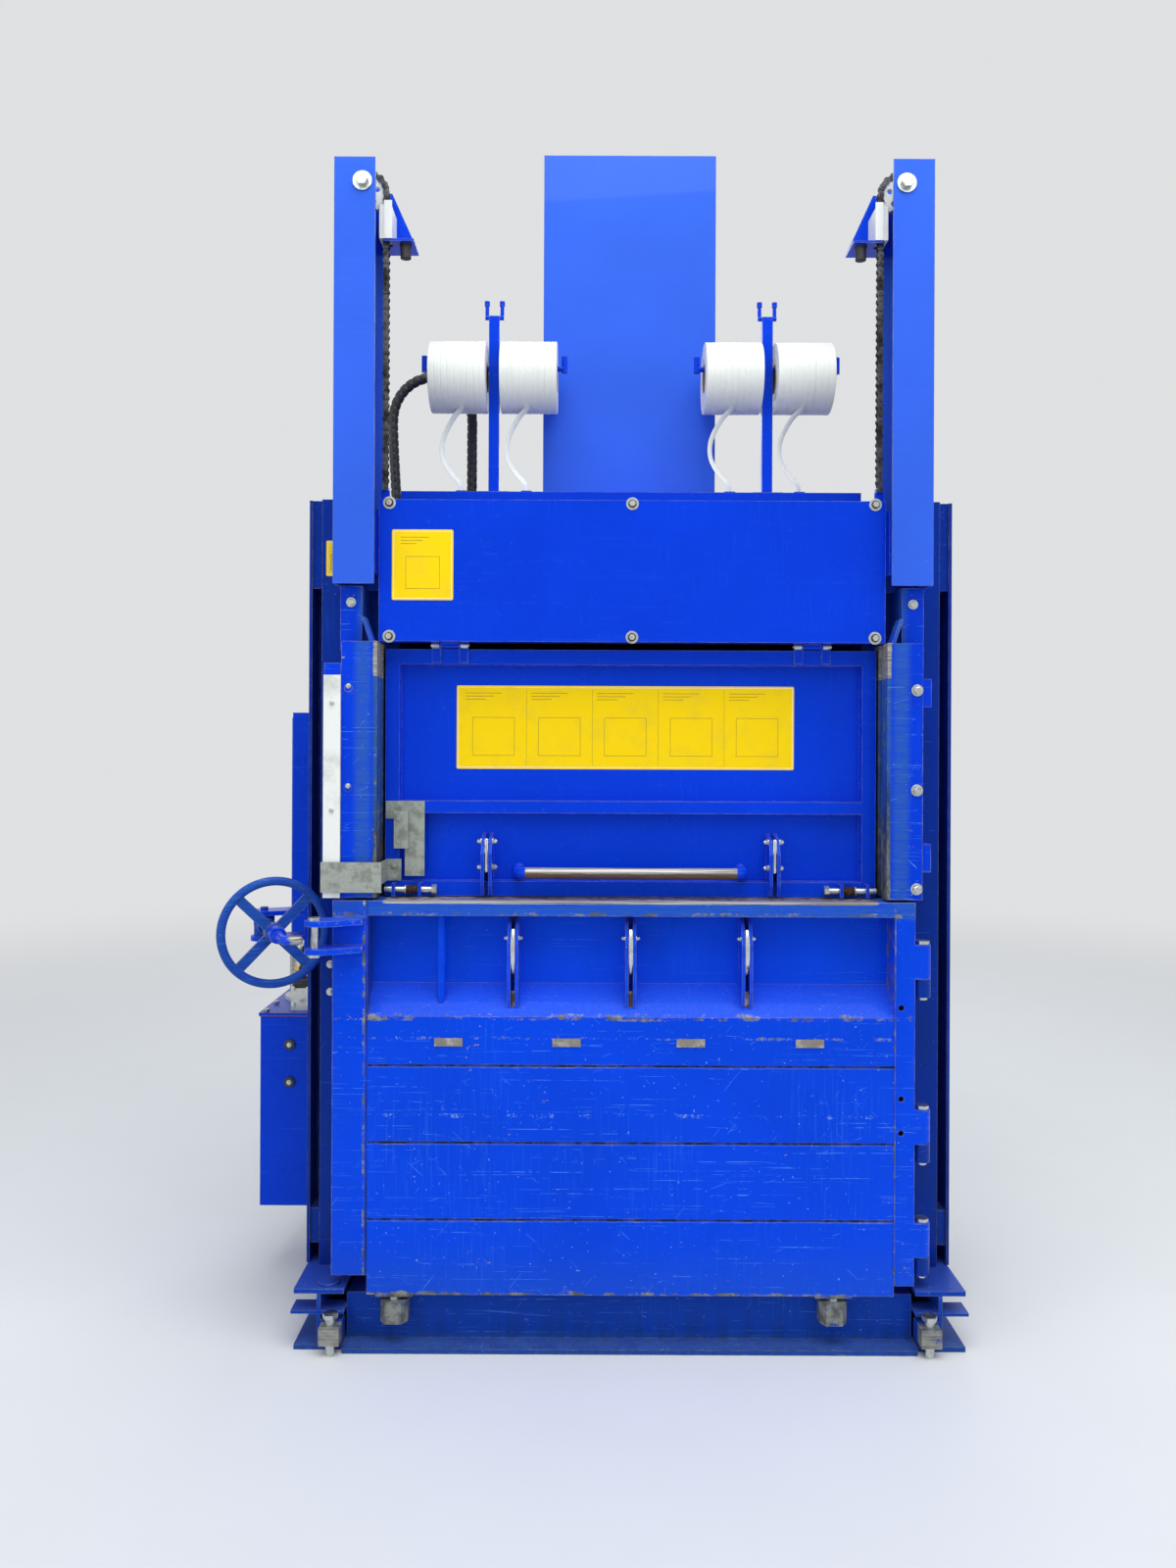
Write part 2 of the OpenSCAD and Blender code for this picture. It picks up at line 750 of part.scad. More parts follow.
module guide_column() {
    raised(guide_bottom, guide_top) guide_plan();
    // The slimmer column between the guide column and the upper post
    difference() {
        block([guide_in + 44, door_face + 35, guide_top - 20], [guide_out + 10, column_face, post_bottom]);
        block([guide_in + 50, door_face + 41, guide_top - 21], [guide_out + 4, column_face - 6, post_bottom + 1]);
    }
    // Lead-in plates for the flap
    along_y(door_face + 3, door_face + guide_plate + 40)
        polygon([[guide_in + 3, guide_top - 20], [guide_in + guide_plate + 6, guide_top - 20],
            [guide_in + 40, guide_top + 60], [guide_in + 32, guide_top + 60]]);
}

module right_guide_column() {
    color(blue) {
        guide_column();
        // Tabs on the outer side
        for (z = [1186, 1597])
            block([guide_out, door_face + 5, z], [guide_out + 22, door_face + 60, z + 70]);
        for (z = [1145, 1390, 1638]) front_bolt(guide_out - 15, z, door_face, 9);
    }
}

module left_guide_column() {
    color(blue) {
        on_left() guide_column();
        // Flat bar that the white glide strip is screwed to
        block([-guide_out - strip_w, door_face - 2, guide_bottom], [-guide_out, door_face + 8, strip_top + 30]);
        block([-guide_out - strip_w, door_face + 8, strip_top + 24], [-guide_out, door_face + 90, strip_top + 30]);
        for (z = [1390, 1638]) y_bar(-guide_out + 18, door_face - 2, door_face, z, 10);
    }
}

module glide_strip() {
    color(white) {
        block([-guide_out - strip_w, door_face - 2 - strip_t, guide_bottom],
            [-guide_out, door_face - 2, strip_top]);
        for (z = [1335, 1600])
            y_bar(-guide_out - strip_w / 2, door_face - 3.5 - strip_t, door_face - 2 - strip_t, z, 6);
    }
}

// Zinc plate that is bolted to the flap's stile and slides along the strip as the door is lifted
module slide_plate() {
    z0 = 1132;
    z1 = 1207;
    t = 4;
    face = door_face - 2 - strip_t - free_gap;
    web = -flap_half + 8;
    color(zinc) {
        block([-guide_out - strip_w - 4, face - t, z0], [web, face, z1]);
        block([web - t, face, z0 + 20], [web, flap_y, z1]);
        block([web, flap_y - t, z0 + 20], [web + 34, flap_y, z1]);
        for (z = [z0 + 32, z1 - 14]) front_bolt(web + 18, z, flap_y - t, 7);
    }
}

// Upper posts with pulleys, chains, bumpers and counterweights

module upper_post() {
    difference() {
        raised(post_bottom, post_top) {
            area([post_in, post_y0], [post_out, post_y0 + post_t]);
            area([post_out - post_t, post_y0], [post_out, post_y1]);
            area([post_in, post_y1 - post_t], [post_out, post_y1]);
        }
        y_bar(pulley_x, post_y0 - 1, post_y1 + 1, pulley_z, axle_r + run_fit);
    }
}

module right_upper_post() {
    color(blue) upper_post();
}

module left_upper_post() {
    color(blue) on_left() upper_post();
}

module pulley_axle() {
    y_bar(pulley_x, post_y0 - 10, post_y1 + 14, pulley_z, axle_r);
    y_bar(pulley_x, post_y0 - 4, post_y0, pulley_z, 24);
    translate([pulley_x, post_y0 - 4, pulley_z]) rotate([90, 0, 0]) cylinder(r = 15, h = 11, $fn = 6);
    translate([pulley_x, post_y1 + 16, pulley_z]) rotate([90, 0, 0]) cylinder(r = 15, h = 14, $fn = 6);
    // Spacer sleeves that keep the pulley in the plane of the chain
    y_bar(pulley_x, post_y0 + post_t, lug_y - pulley_t / 2 - 0.5, pulley_z, sleeve_r);
    y_bar(pulley_x, lug_y + pulley_t / 2 + 0.5, post_y1 - post_t, pulley_z, sleeve_r);
}

module pulley_axles() {
    color(zinc) {
        pulley_axle();
        on_left() pulley_axle();
    }
}

// Sprocket: one tooth gap for each roller, so the chain lies in mesh at rest
module pulley() {
    teeth = 2 * wrap_links;
    difference() {
        y_bar(pulley_x, lug_y - pulley_t / 2, lug_y + pulley_t / 2, pulley_z, pulley_r + 0.5);
        y_bar(pulley_x, lug_y - pulley_t, lug_y + pulley_t, pulley_z, axle_r + run_fit);
        for (i = [0 : teeth - 1])
            translate([pulley_x, lug_y, pulley_z]) rotate([0, -i * 360 / teeth, 0])
                y_bar(pulley_r, -pulley_t, pulley_t, 0, roller_r + seat_gap);
        for (i = [0 : 4])
            translate([pulley_x, lug_y, pulley_z]) rotate([0, -i * 72 - 18, 0])
                y_bar(27, -pulley_t, pulley_t, 0, 7);
    }
}

module right_pulley() {
    color(white) pulley();
}

module left_pulley() {
    color(white) on_left() pulley();
}

// Chain: plan of the plates of every second link, drawn in x and z
module run_links(x, z_top, count, first) {
    for (i = [first : 2 : count - 1]) {
        z = z_top - (i + 1) * chain_pitch;
        area([x - chain_plate_h / 2, z], [x + chain_plate_h / 2, z + chain_pitch]);
        for (e = [0, 1]) translate([x, z + e * chain_pitch]) circle(r = chain_plate_h / 2, $fn = 24);
    }
}

module wrap_links_plan(first) {
    step = 180 / wrap_links;
    for (i = [first : 2 : wrap_links - 1])
        for (e = [0, 1])
            translate([pulley_x, pulley_z]) rotate((i + e) * step) translate([pulley_r, 0])
                circle(r = chain_plate_h / 2, $fn = 24);
    for (i = [first : 2 : wrap_links - 1])
        translate([pulley_x, pulley_z]) rotate((i + 0.5) * step)
            area([pulley_r * cos(step / 2) - chain_plate_h / 2, -pulley_r * sin(step / 2)],
                [pulley_r * cos(step / 2) + chain_plate_h / 2, pulley_r * sin(step / 2)]);
}

module chain_joints(r) {
    run = floor((pulley_z - lug_top) / chain_pitch);
    far = floor((pulley_z - weight_top) / chain_pitch);
    for (i = [1 : run]) translate([chain_x, pulley_z - i * chain_pitch]) circle(r = r, $fn = 24);
    for (i = [1 : far]) translate([chain_x + 2 * pulley_r, pulley_z - i * chain_pitch]) circle(r = r, $fn = 24);
    for (i = [0 : wrap_links])
        translate([pulley_x, pulley_z]) rotate(i * 180 / wrap_links) translate([pulley_r, 0])
            circle(r = r, $fn = 24);
}

module chain_layer(a, b, first) {
    run = floor((pulley_z - lug_top) / chain_pitch);
    far = floor((pulley_z - weight_top) / chain_pitch);
    for (s = [-1, 1])
        along_y(lug_y + min(s * a, s * b), lug_y + max(s * a, s * b)) {
            run_links(chain_x, pulley_z, run, first);
            wrap_links_plan((wrap_links + first + 1) % 2);
            run_links(chain_x + 2 * pulley_r, pulley_z, far, (wrap_links + first) % 2);
        }
}

module lift_chain() {
    a = chain_gap / 2;
    b = a + chain_plate_t;
    c = b + chain_plate_t;
    chain_layer(a, b, 0);
    chain_layer(b, c, 1);
    along_y(lug_y - a, lug_y + a) chain_joints(roller_r);
    along_y(lug_y - c - 1, lug_y + c + 1) chain_joints(chain_pin_r);
}

module right_lift_chain() {
    color(steel) lift_chain();
}

module left_lift_chain() {
    color(steel) on_left() lift_chain();
}

module counterweight() {
    z1 = weight_top;
    eye_z = pulley_z - floor((pulley_z - weight_top) / chain_pitch) * chain_pitch;
    block([weight_x - weight_w / 2, lug_y - weight_d / 2, z1 - weight_l - 24],
        [weight_x + weight_w / 2, lug_y + weight_d / 2, z1 - 24]);
    difference() {
        block([chain_x + 2 * pulley_r - 7, lug_y - 4, z1 - 24], [chain_x + 2 * pulley_r + 7, lug_y + 4, eye_z + 9]);
        y_bar(chain_x + 2 * pulley_r, lug_y - 6, lug_y + 6, eye_z, roller_r + seat_gap);
    }
}

module right_counterweight() {
    color(steel) counterweight();
}

module left_counterweight() {
    color(steel) on_left() counterweight();
}

bumper_x = 575;
bumper_y = header_y + header_d / 2;
shelf_z = bumper_bottom + bumper_h;

module bumper_bracket() {
    // Gusset plate on the post's rear flange, with a shelf for the bumper
    along_y(post_y1 - post_t - 6, post_y1 - post_t) difference() {
        polygon([
            [post_in + 50, pulley_z + 30], [post_in - 20, pulley_z + 30], [bumper_x - 24, shelf_z + 6],
            [bumper_x - 24, shelf_z], [post_in + 50, shelf_z]
        ]);
        translate([pulley_x, pulley_z]) circle(r = sleeve_r + 1);
    }
    difference() {
        block([bumper_x - 24, bumper_y - 24, shelf_z], [post_in - 12, post_y1 - post_t - 6, shelf_z + 6]);
        block([chain_x - 14, lug_y - 16, shelf_z - 1], [chain_x + 40, lug_y + 16, shelf_z + 7]);
    }
}

module right_bumper_bracket() {
    color(blue) bumper_bracket();
}

module left_bumper_bracket() {
    color(blue) on_left() bumper_bracket();
}

module rubber_bumpers() {
    color(black) for (x = [-bumper_x, bumper_x]) {
        post_bar(x, bumper_y, bumper_bottom, shelf_z - 4, bumper_r);
        post_bar(x, bumper_y, shelf_z - 4, shelf_z, bumper_r + 2);
    }
}

module chain_guide() {
    difference() {
        block([chain_x - 15, lug_y - 22, shelf_z + 6], [chain_x + 15, post_y1 - post_t - 6, shelf_z + 91]);
        block([chain_x - 10, lug_y - 12, shelf_z], [chain_x + 10, lug_y + 12, shelf_z + 92]);
    }
    block([chain_x - 17, lug_y - 24, shelf_z + 6], [chain_x + 3, lug_y - 22, shelf_z + 101]);
}

module chain_guides() {
    color(white) {
        chain_guide();
        on_left() chain_guide();
    }
}

// Press

module cylinder_cover() {
    color(blue) difference() {
        block([-cover_half, -cover_y, head_top], [cover_half, cover_y, cover_top]);
        block([-cover_half + cover_t, -cover_y + cover_t, head_top - 1],
            [cover_half - cover_t, cover_y + 1, cover_top - cover_t]);
    }
}

module cylinder_barrel() {
    color(deep_blue) difference() {
        union() {
            post_bar(0, 0, cylinder_bottom, cylinder_top, cylinder_r);
            post_bar(0, 0, head_top, head_top + 25, cylinder_r + 28);
            post_bar(0, 0, cylinder_top - 30, cylinder_top, cylinder_r + 8);
            // Port for the hose
            x_bar(-cylinder_r - 26, -bore_r - 4, 0, 2020, 16);
        }
        post_bar(0, 0, cylinder_bottom + 60, cylinder_top - 40, bore_r);
        post_bar(0, 0, cylinder_bottom - 1, cylinder_bottom + 61, rod_r + run_fit);
    }
}

module piston_rod() {
    color(steel) {
        post_bar(0, 0, plate_bottom + plate_h, cylinder_top - 60, rod_r);
        post_bar(0, 0, cylinder_top - 120, cylinder_top - 60, bore_r - run_fit);
    }
}

module press_plate() {
    x = wall_in - plate_gap;
    y1 = back_y - plate_gap;
    top = plate_bottom + plate_h;
    color(steel) difference() {
        union() {
            block([-x, plate_front, plate_bottom], [x, y1, plate_bottom + 20]);
            for (px = [-x, -x / 2 - 6, x / 2 - 6, x - 12])
                block([px, plate_front, plate_bottom + 20], [px + 12, y1, top - 12]);
            for (py = [plate_front, -106, 94, y1 - 12])
                block([-x, py, plate_bottom + 20], [x, py + 12, top - 12]);
            post_bar(0, 0, plate_bottom + 20, top, rod_r + 50);
        }
        // Channels for the straps across the underside
        for (px = [-444, -148, 148, 444])
            block([px - 20, plate_front - 1, plate_bottom - 1], [px + 20, y1 + 1, plate_bottom + 10]);
    }
}

// Strap store

module strap_stand() {
    z0 = head_top;
    color(blue) {
        block([stand_x - stand_w / 2, stand_y - stand_w / 2, z0], [stand_x + stand_w / 2, stand_y + stand_w / 2, 2636]);
        block([stand_x - 40, stand_y - 30, z0], [stand_x + 40, stand_y + 30, z0 + 8]);
        // Fork at the top
        for (s = [-1, 1]) post_bar(stand_x + s * 20, stand_y, 2632, fork_top - 12, 5);
        x_bar(stand_x - 25, stand_x + 25, stand_y, 2635, 6);
        // Axle with upturned ends
        tip = strap_axle_half - strap_axle_r - 1;
        x_bar(stand_x - tip, stand_x + tip, stand_y, strap_axle_z, strap_axle_r);
        for (s = [-1, 1])
            post_bar(stand_x + s * tip, stand_y, strap_axle_z - 10, strap_axle_z + 32, strap_axle_r + 1);
    }
    color(white) for (s = [-1, 1]) post_bar(stand_x + s * 20, stand_y, fork_top - 12, fork_top, 7);
}

module right_strap_stand() {
    strap_stand();
}

module left_strap_stand() {
    on_left() strap_stand();
}

module strap_roll(x) {
    color(white) difference() {
        x_bar(x - roll_w / 2, x + roll_w / 2, stand_y, roll_z, roll_r);
        x_bar(x - roll_w / 2 - 1, x + roll_w / 2 + 1, stand_y, roll_z, roll_bore);
    }
}

module strap_end(x) {
    p = [for (q = strap_pts) q + [x, 0, 0]];
    color(white) sweep(p, strap_w, strap_t, [0, 1, 0], 8);
}

module hydraulic_hose() {
    color(black) sweep(hose_pts, 2 * hose_r, 2 * hose_r, [0, 1, 0], 10);
}

// Power unit

module oil_tank() {
    color(blue) difference() {
        block([-tank_left, -tank_front, tank_bottom], [-tank_right, -tank_front + tank_d, tank_top]);
        block([-tank_left + 4, -tank_front + 4, tank_bottom + 4],
            [-tank_right - 4, -tank_front + tank_d - 4, tank_top + 1]);
    }
}

module tank_lid() {
    color(blue) {
        block([-tank_left - 4, -tank_front - 4, tank_top], [-tank_right + 2, -tank_front + tank_d + 4, tank_top + 8]);
        for (x = [-tank_left + 14, -tank_right - 14],
            y = [-tank_front + 12, -tank_front + 116, -tank_front + tank_d - 12])
            translate([x, y, tank_top + 8]) cylinder(r = 8, h = 8, $fn = 6);
    }
}

module pump_block() {
    z = tank_top + 8;
    color(zinc) {
        block([-945, -70, z], [-889, -2, z + 62]);
        post_bar(-917, 120, z, z + 10, 90);
        post_bar(-917, 120, z + 10, z + 150, 68);
    }
    color(black) block([-941, -66, z + 62], [-893, -6, z + 86]);
}

module pressure_pipe() {
    x = -928;
    z = tank_top + 94;
    bend = 40;
    wall = -wall_in - sheet_t;
    color(steel) {
        post_bar(x, -36, z, z + 20, 16);
        post_bar(x, -36, z + 18, z + 70, 11);
        translate([x + bend, -36, z + 70]) rotate([90, 0, 0]) rotate(90) rotate_extrude(angle = 90)
            translate([bend, 0]) circle(r = 11);
        x_bar(x + bend, wall - 12, -36, z + 70 + bend, 11);
        x_bar(wall - 14, wall, -36, z + 70 + bend, 20);
    }
}

module control_cabinet() {
    x0 = -975;
    x1 = -845;
    z0 = cabinet_top - cabinet_h;
    color(blue) {
        difference() {
            block([x0, 60, z0], [x1, 360, cabinet_top]);
            block([x0 + 3, 63, z0 + 3], [x1 - 3, 357, cabinet_top - 3]);
        }
        // Rails that hold the cabinet on two ribs of the left wall
        for (i = [2, 3])
            block([x1, 130, rib_zs[i] + 25], [-wall_in - sheet_t - side_rib_d, 170, rib_zs[i] + rib_h - 25]);
    }
}

// Bale door

// Side outline of the plank wall with the strap recess above it, in y and z
module door_outline(t) {
    f = door_face + t;
    polygon([
        [f, door_bottom + t], [f, slope_bottom - t / 2], [f + recess_d, slope_top - t / 2],
        [f + recess_d, door_top - rail_h + t], [f, door_top - rail_h + t], [f, door_top - t],
        [front_y - t, door_top - t], [front_y - t, door_bottom + t]
    ]);
}

module strap_guide_plate(x) {
    along_x(x, x + guide_t) difference() {
        polygon([
            [door_face + recess_d, slope_top + 6], [door_face + 18, slope_bottom + 22],
            [door_face + 8, slope_bottom + 60], [door_face + 8, door_top - rail_h - 70],
            [door_face + 30, door_top - rail_h - 22], [door_face + recess_d, door_top - rail_h]
        ]);
        translate([door_face + 30, door_top - rail_h - 60]) circle(r = 5);
    }
}

module door_strap_guide(x) {
    strap_guide_plate(x - guide_gap / 2 - guide_t);
    strap_guide_plate(x + guide_gap / 2);
}

module stile(x0, x1, z0) {
    difference() {
        block([x0, door_face, z0], [x1, front_y, door_top]);
        block([x0 + door_t, door_face + door_t, z0 + door_t], [x1 - door_t, front_y - door_t, door_top - door_t]);
    }
}

module door_knuckles() {
    difference() {
        for (z = hinge_zs) {
            post_bar(hinge_x, hinge_y, z, z + knuckle_h, knuckle_r);
            block([door_right, hinge_y - knuckle_r, z], [hinge_x, hinge_y + knuckle_r, z + knuckle_h]);
        }
        for (z = hinge_zs) post_bar(hinge_x, hinge_y, z - 1, z + knuckle_h + 1, hinge_pin_r + run_fit);
    }
}

module lock_lugs() {
    difference() {
        for (s = [-1, 1]) translate([0, 0, lock_z + s * lug_z - lug_t / 2]) linear_extrude(lug_t) {
            polygon([[-door_left + 80, door_face], [-door_left + 80, door_face - 30], [-door_left, door_face - 75],
                [pin_xy[0], pin_xy[1] - 25], [pin_xy[0] - 25, pin_xy[1]], [-door_left - 20, door_face]]);
            translate(pin_xy) circle(r = 25);
        }
        post_bar(pin_xy[0], pin_xy[1], lock_z - lug_z - lug_t, lock_z + lug_z + lug_t, lock_pin_r + run_fit);
    }
}

strap_guide_x = [-294, 0, 290];

// Side outline of a groove between two planks with rounded edges, open to the front
module plank_groove(z) {
    upper = [for (a = [90 : -15 : 0]) [door_face + groove_d * (1 - sin(a)), z + groove_d * (1 - cos(a))]];
    lower = [for (a = [0 : 15 : 90])
        [door_face + groove_d * (1 - sin(a)), z - groove_h - groove_d * (1 - cos(a))]];
    polygon(concat([[door_face - 1, z + groove_d]], upper, lower, [[door_face - 1, z - groove_h - groove_d]]));
}

module bale_door() {
    color(blue) {
        difference() {
            along_x(-panel_left, panel_right) door_outline(0);
            along_x(-panel_left + door_t, panel_right - door_t) door_outline(door_t);
            for (i = [0 : groove_count - 1])
                along_x(-panel_left, panel_right) plank_groove(groove_top - i * groove_pitch);
        }
        stile(-door_left, -panel_left, left_stile_bottom);
        difference() {
            stile(panel_right, door_right, right_stile_bottom);
            for (z = [539, 624, 850]) y_bar(door_right - 34, door_face - 1, door_face + door_t + 1, z, 7);
        }
        for (x = strap_guide_x) door_strap_guide(x);
        // Round tube at the left of the recess
        post_bar(-475, door_face + 38, slope_top - 46, door_top - rail_h, recess_tube_r);
        // Wear plates over the door rests
        for (x = door_rest_x) block([x - 46, door_face + 2, door_bottom - 6], [x + 46, front_y - 30, door_bottom]);
        lock_lugs();
        door_knuckles();
    }
}

module strap_clamps() {
    color(zinc) for (i = [0 : 3]) {
        x = [-452, -159, 149, 444][i];
        s = i < 2 ? -1 : 1;
        block([x - 35, door_face - 3, 751], [x + 35, door_face, 771]);
        for (k = [12, 27]) y_bar(x + s * k, door_face - 6, door_face - 3, 761, 4);
    }
}

module bale_hinge_pins() {
    color(zinc) for (z = hinge_zs) {
        post_bar(hinge_x, hinge_y, z - frame_knuckle_h - 8, z + knuckle_h + 3, hinge_pin_r);
        post_bar(hinge_x, hinge_y, z + knuckle_h + 1, z + knuckle_h + 9, hinge_pin_r + 5);
    }
}

// Lock

module lock_bracket() {
    x = trunnion[0];
    y = trunnion[1];
    color(blue) {
        block([-flange_out - 10, y - 2, lock_z - 70], [-flange_out, y + 80, lock_z + 70]);
        difference() {
            for (s = [-1, 1]) translate([0, 0, lock_z + s * (fork_half + fork_t / 2) - fork_t / 2])
                linear_extrude(fork_t) {
                    polygon([[-flange_out - 10, y + 80], [-flange_out - 10, y - 2], [x, y - 34], [x - 10, y + 34]]);
                    translate([x, y]) circle(r = 34);
                }
            post_bar(x, y, lock_z - 60, lock_z + 60, trunnion_pin_r + run_fit);
        }
    }
}

// Places a lock piece that is drawn with the spindle along its own x axis
module at_lock() {
    translate([trunnion[0], trunnion[1], lock_z]) rotate(lock_angle) children();
}

module lock_trunnion() {
    color(deep_blue) at_lock() difference() {
        union() {
            post_bar(0, 0, -fork_half + 0.5, fork_half - 0.5, 26);
            post_bar(0, 0, -fork_half - fork_t - 8, fork_half + fork_t + 8, trunnion_pin_r);
            x_bar(-34, 34, 0, 0, 22);
        }
        x_bar(-40, 40, 0, 0, spindle_r + run_fit);
    }
}

module lock_spindle() {
    color(steel) at_lock() {
        x_bar(-spindle_back, wheel_out + hub_l / 2, 0, 0, spindle_r);
        x_bar(wheel_out + hub_l / 2, journal_end, 0, 0, spindle_r - 3);
    }
}

module lock_handwheel() {
    mid_r = wheel_r - rim_r;
    color(blue) at_lock() difference() {
        union() {
            translate([wheel_out, 0, 0]) rotate([0, 90, 0]) rotate_extrude() translate([mid_r, 0]) circle(r = rim_r, $fn = 24);
            x_bar(wheel_out - hub_l / 2, wheel_out + hub_l / 2 - 1, 0, 0, hub_r);
            for (a = [45, 135, 225, 315]) translate([wheel_out, 0, 0]) rotate([a, 0, 0])
                block([-4, -13, hub_r - 4], [4, 13, mid_r - 4]);
        }
        x_bar(wheel_out - hub_l, wheel_out + hub_l, 0, 0, spindle_r + run_fit);
    }
}

// The hook swivels on the end of the spindle and turns in front of the pin
module lock_hook() {
    start = wheel_out + hub_l / 2;
    bend = hook_r + 6;
    color(steel) at_lock() difference() {
        union() {
            x_bar(start, journal_end + 10, 0, 0, collar_r);
            x_bar(journal_end + 8, hook_turn - bend, 0, 0, hook_r);
            translate([hook_turn - bend, bend, 0]) rotate(-90) rotate_extrude(angle = 90)
                translate([bend, 0]) circle(r = hook_r, $fn = 32);
            translate([hook_turn, bend, 0]) rotate([-90, 0, 0]) cylinder(r = hook_r, h = hook_reach - bend - hook_r);
            translate([hook_turn, hook_reach - hook_r, 0]) sphere(r = hook_r, $fn = 32);
        }
        x_bar(start - 1, journal_end + 1, 0, 0, spindle_r - 3 + run_fit);
    }
}

module lock_pin() {
    top = lug_z + lug_t / 2;
    color(zinc) {
        post_bar(pin_xy[0], pin_xy[1], lock_z - top - 8, lock_z + top + 1, lock_pin_r);
        post_bar(pin_xy[0], pin_xy[1], lock_z + top, lock_z + top + 7, 16);
        post_bar(pin_xy[0], pin_xy[1], lock_z - top - 8, lock_z - top, 16);
    }
}

// Loading door

module header_lug(x) {
    difference() {
        union() {
            block([x - 11, lug_y - 4, header_top - 12], [x + 11, lug_y + 4, lug_top]);
            block([x - 7.5, lug_y - 4, header_top], [x + 7.5, lug_y + 4, chain_end_z]);
            y_bar(x, lug_y - 4, lug_y + 4, chain_end_z, 8);
        }
        y_bar(x, lug_y - 5, lug_y + 5, chain_end_z, roller_r + seat_gap);
    }
}

chain_end_z = pulley_z - floor((pulley_z - lug_top) / chain_pitch) * chain_pitch;

module guide_shoe() {
    raised(1930, 2090) difference() {
        polygon([
            [header_half, header_y + 8], [header_half + 12, header_y + 8], [header_half + 12, post_y0 + post_t + 3],
            [header_half + 40, post_y0 + post_t + 3], [header_half + 46, post_y0 + post_t + 9],
            [header_half + 46, post_y1 - post_t - 15], [header_half + 40, post_y1 - post_t - 9],
            [header_half + 12, post_y1 - post_t - 9], [header_half + 12, header_back - 8],
            [header_half, header_back - 8]
        ]);
        translate([header_half + 30, lug_y]) circle(r = 8);
    }
}

module header_panel() {
    color(blue) difference() {
        union() {
            difference() {
                block([-header_half, header_y, header_bottom], [header_half, header_back, header_top]);
                block([-header_half + header_t, header_y + header_t, header_bottom + header_t],
                    [header_half - header_t, header_back + 1, header_top - header_t]);
            }
            for (x = [-320, 0, 320])
                block([x - 3, header_y + header_t, header_bottom + header_t], [x + 3, header_back, header_top - header_t]);
            // Knuckles for the flap hinges, on small leaves behind the bottom edge
            for (x = [-flap_hinge_x, flap_hinge_x]) {
                x_bar(x - barrel_l / 4 + 0.5, x + barrel_l / 4 - 0.5, flap_axis[0], flap_axis[1], barrel_r);
                block([x - barrel_l / 4 + 0.5, flap_axis[0] - barrel_r, flap_axis[1]],
                    [x + barrel_l / 4 - 0.5, header_back, header_bottom + header_t]);
            }
            for (x = [-chain_x, chain_x]) header_lug(x);
            guide_shoe();
            on_left() guide_shoe();
        }
        for (x = [-flap_hinge_x, flap_hinge_x])
            x_bar(x - barrel_l, x + barrel_l, flap_axis[0], flap_axis[1], flap_pin_r + run_fit);
    }
}

module header_bolts() {
    color(zinc) {
        for (x = [26 - header_half, 0, header_half - 26], z = [header_bottom + 12, header_top - 9])
            front_bolt(x, z, header_y, 8);
        // Hinge pins of the flap
        for (x = [-flap_hinge_x, flap_hinge_x])
            x_bar(x - barrel_l / 2 - 3, x + barrel_l / 2 + 3, flap_axis[0], flap_axis[1], flap_pin_r);
    }
}

module flap_knuckles(x) {
    for (s = [-1, 1]) {
        a = min(s * barrel_l / 4 + s * 0.5, s * barrel_l / 2);
        b = max(s * barrel_l / 4 + s * 0.5, s * barrel_l / 2);
        x_bar(x + a, x + b, flap_axis[0], flap_axis[1], barrel_r);
        block([x + a, flap_axis[0] - 2, flap_axis[1] - 44], [x + b, flap_y, flap_axis[1]]);
    }
}

module flap_strap_guide(x) {
    for (s = [-1, 1]) {
        a = x + s * (guide_gap / 2 + guide_t / 2) - guide_t / 2;
        along_x(a, a + guide_t) polygon([
            [flap_back - flap_skin, flap_bottom], [flap_y - 26, flap_bottom + 6], [flap_y - 34, flap_bottom + 30],
            [flap_y - 34, flap_bottom + 110], [flap_y - 16, flap_bottom + 146], [flap_back - flap_skin, flap_bottom + 160]
        ]);
    }
    for (z = [flap_bottom + 74, flap_bottom + 140])
        x_bar(x - guide_gap / 2 - guide_t - 7, x + guide_gap / 2 + guide_t + 7, flap_y - 6, z, 6);
}

module bolt_bracket(x) {
    difference() {
        block([x - bracket_t / 2, bolt_y - 16, bolt_z - 17], [x + bracket_t / 2, flap_y, bolt_z + 17]);
        x_bar(x - bracket_t, x + bracket_t, bolt_y, bolt_z, bolt_r + run_fit);
    }
}

module loading_flap() {
    pocket = flap_back - flap_skin;
    color(blue) difference() {
        union() {
            difference() {
                block([-flap_half, flap_y, flap_bottom], [flap_half, flap_back, flap_top]);
                block([-flap_half + flap_stile, flap_y - 1, flap_mid + flap_mid_h / 2],
                    [flap_half - flap_stile, pocket, flap_top - flap_rail]);
                block([-flap_half + flap_stile, flap_y - 1, flap_bottom + flap_rail],
                    [flap_half - flap_stile, pocket, flap_mid - flap_mid_h / 2]);
            }
            for (x = [-flap_hinge_x, flap_hinge_x]) flap_knuckles(x);
            for (x = [-365, 365]) flap_strap_guide(x);
            for (x = bolt_bracket_x) {
                bolt_bracket(x);
                bolt_bracket(-x);
            }
        }
        for (x = [-flap_hinge_x, flap_hinge_x])
            x_bar(x - barrel_l, x + barrel_l, flap_axis[0], flap_axis[1], flap_pin_r + run_fit);
    }
}

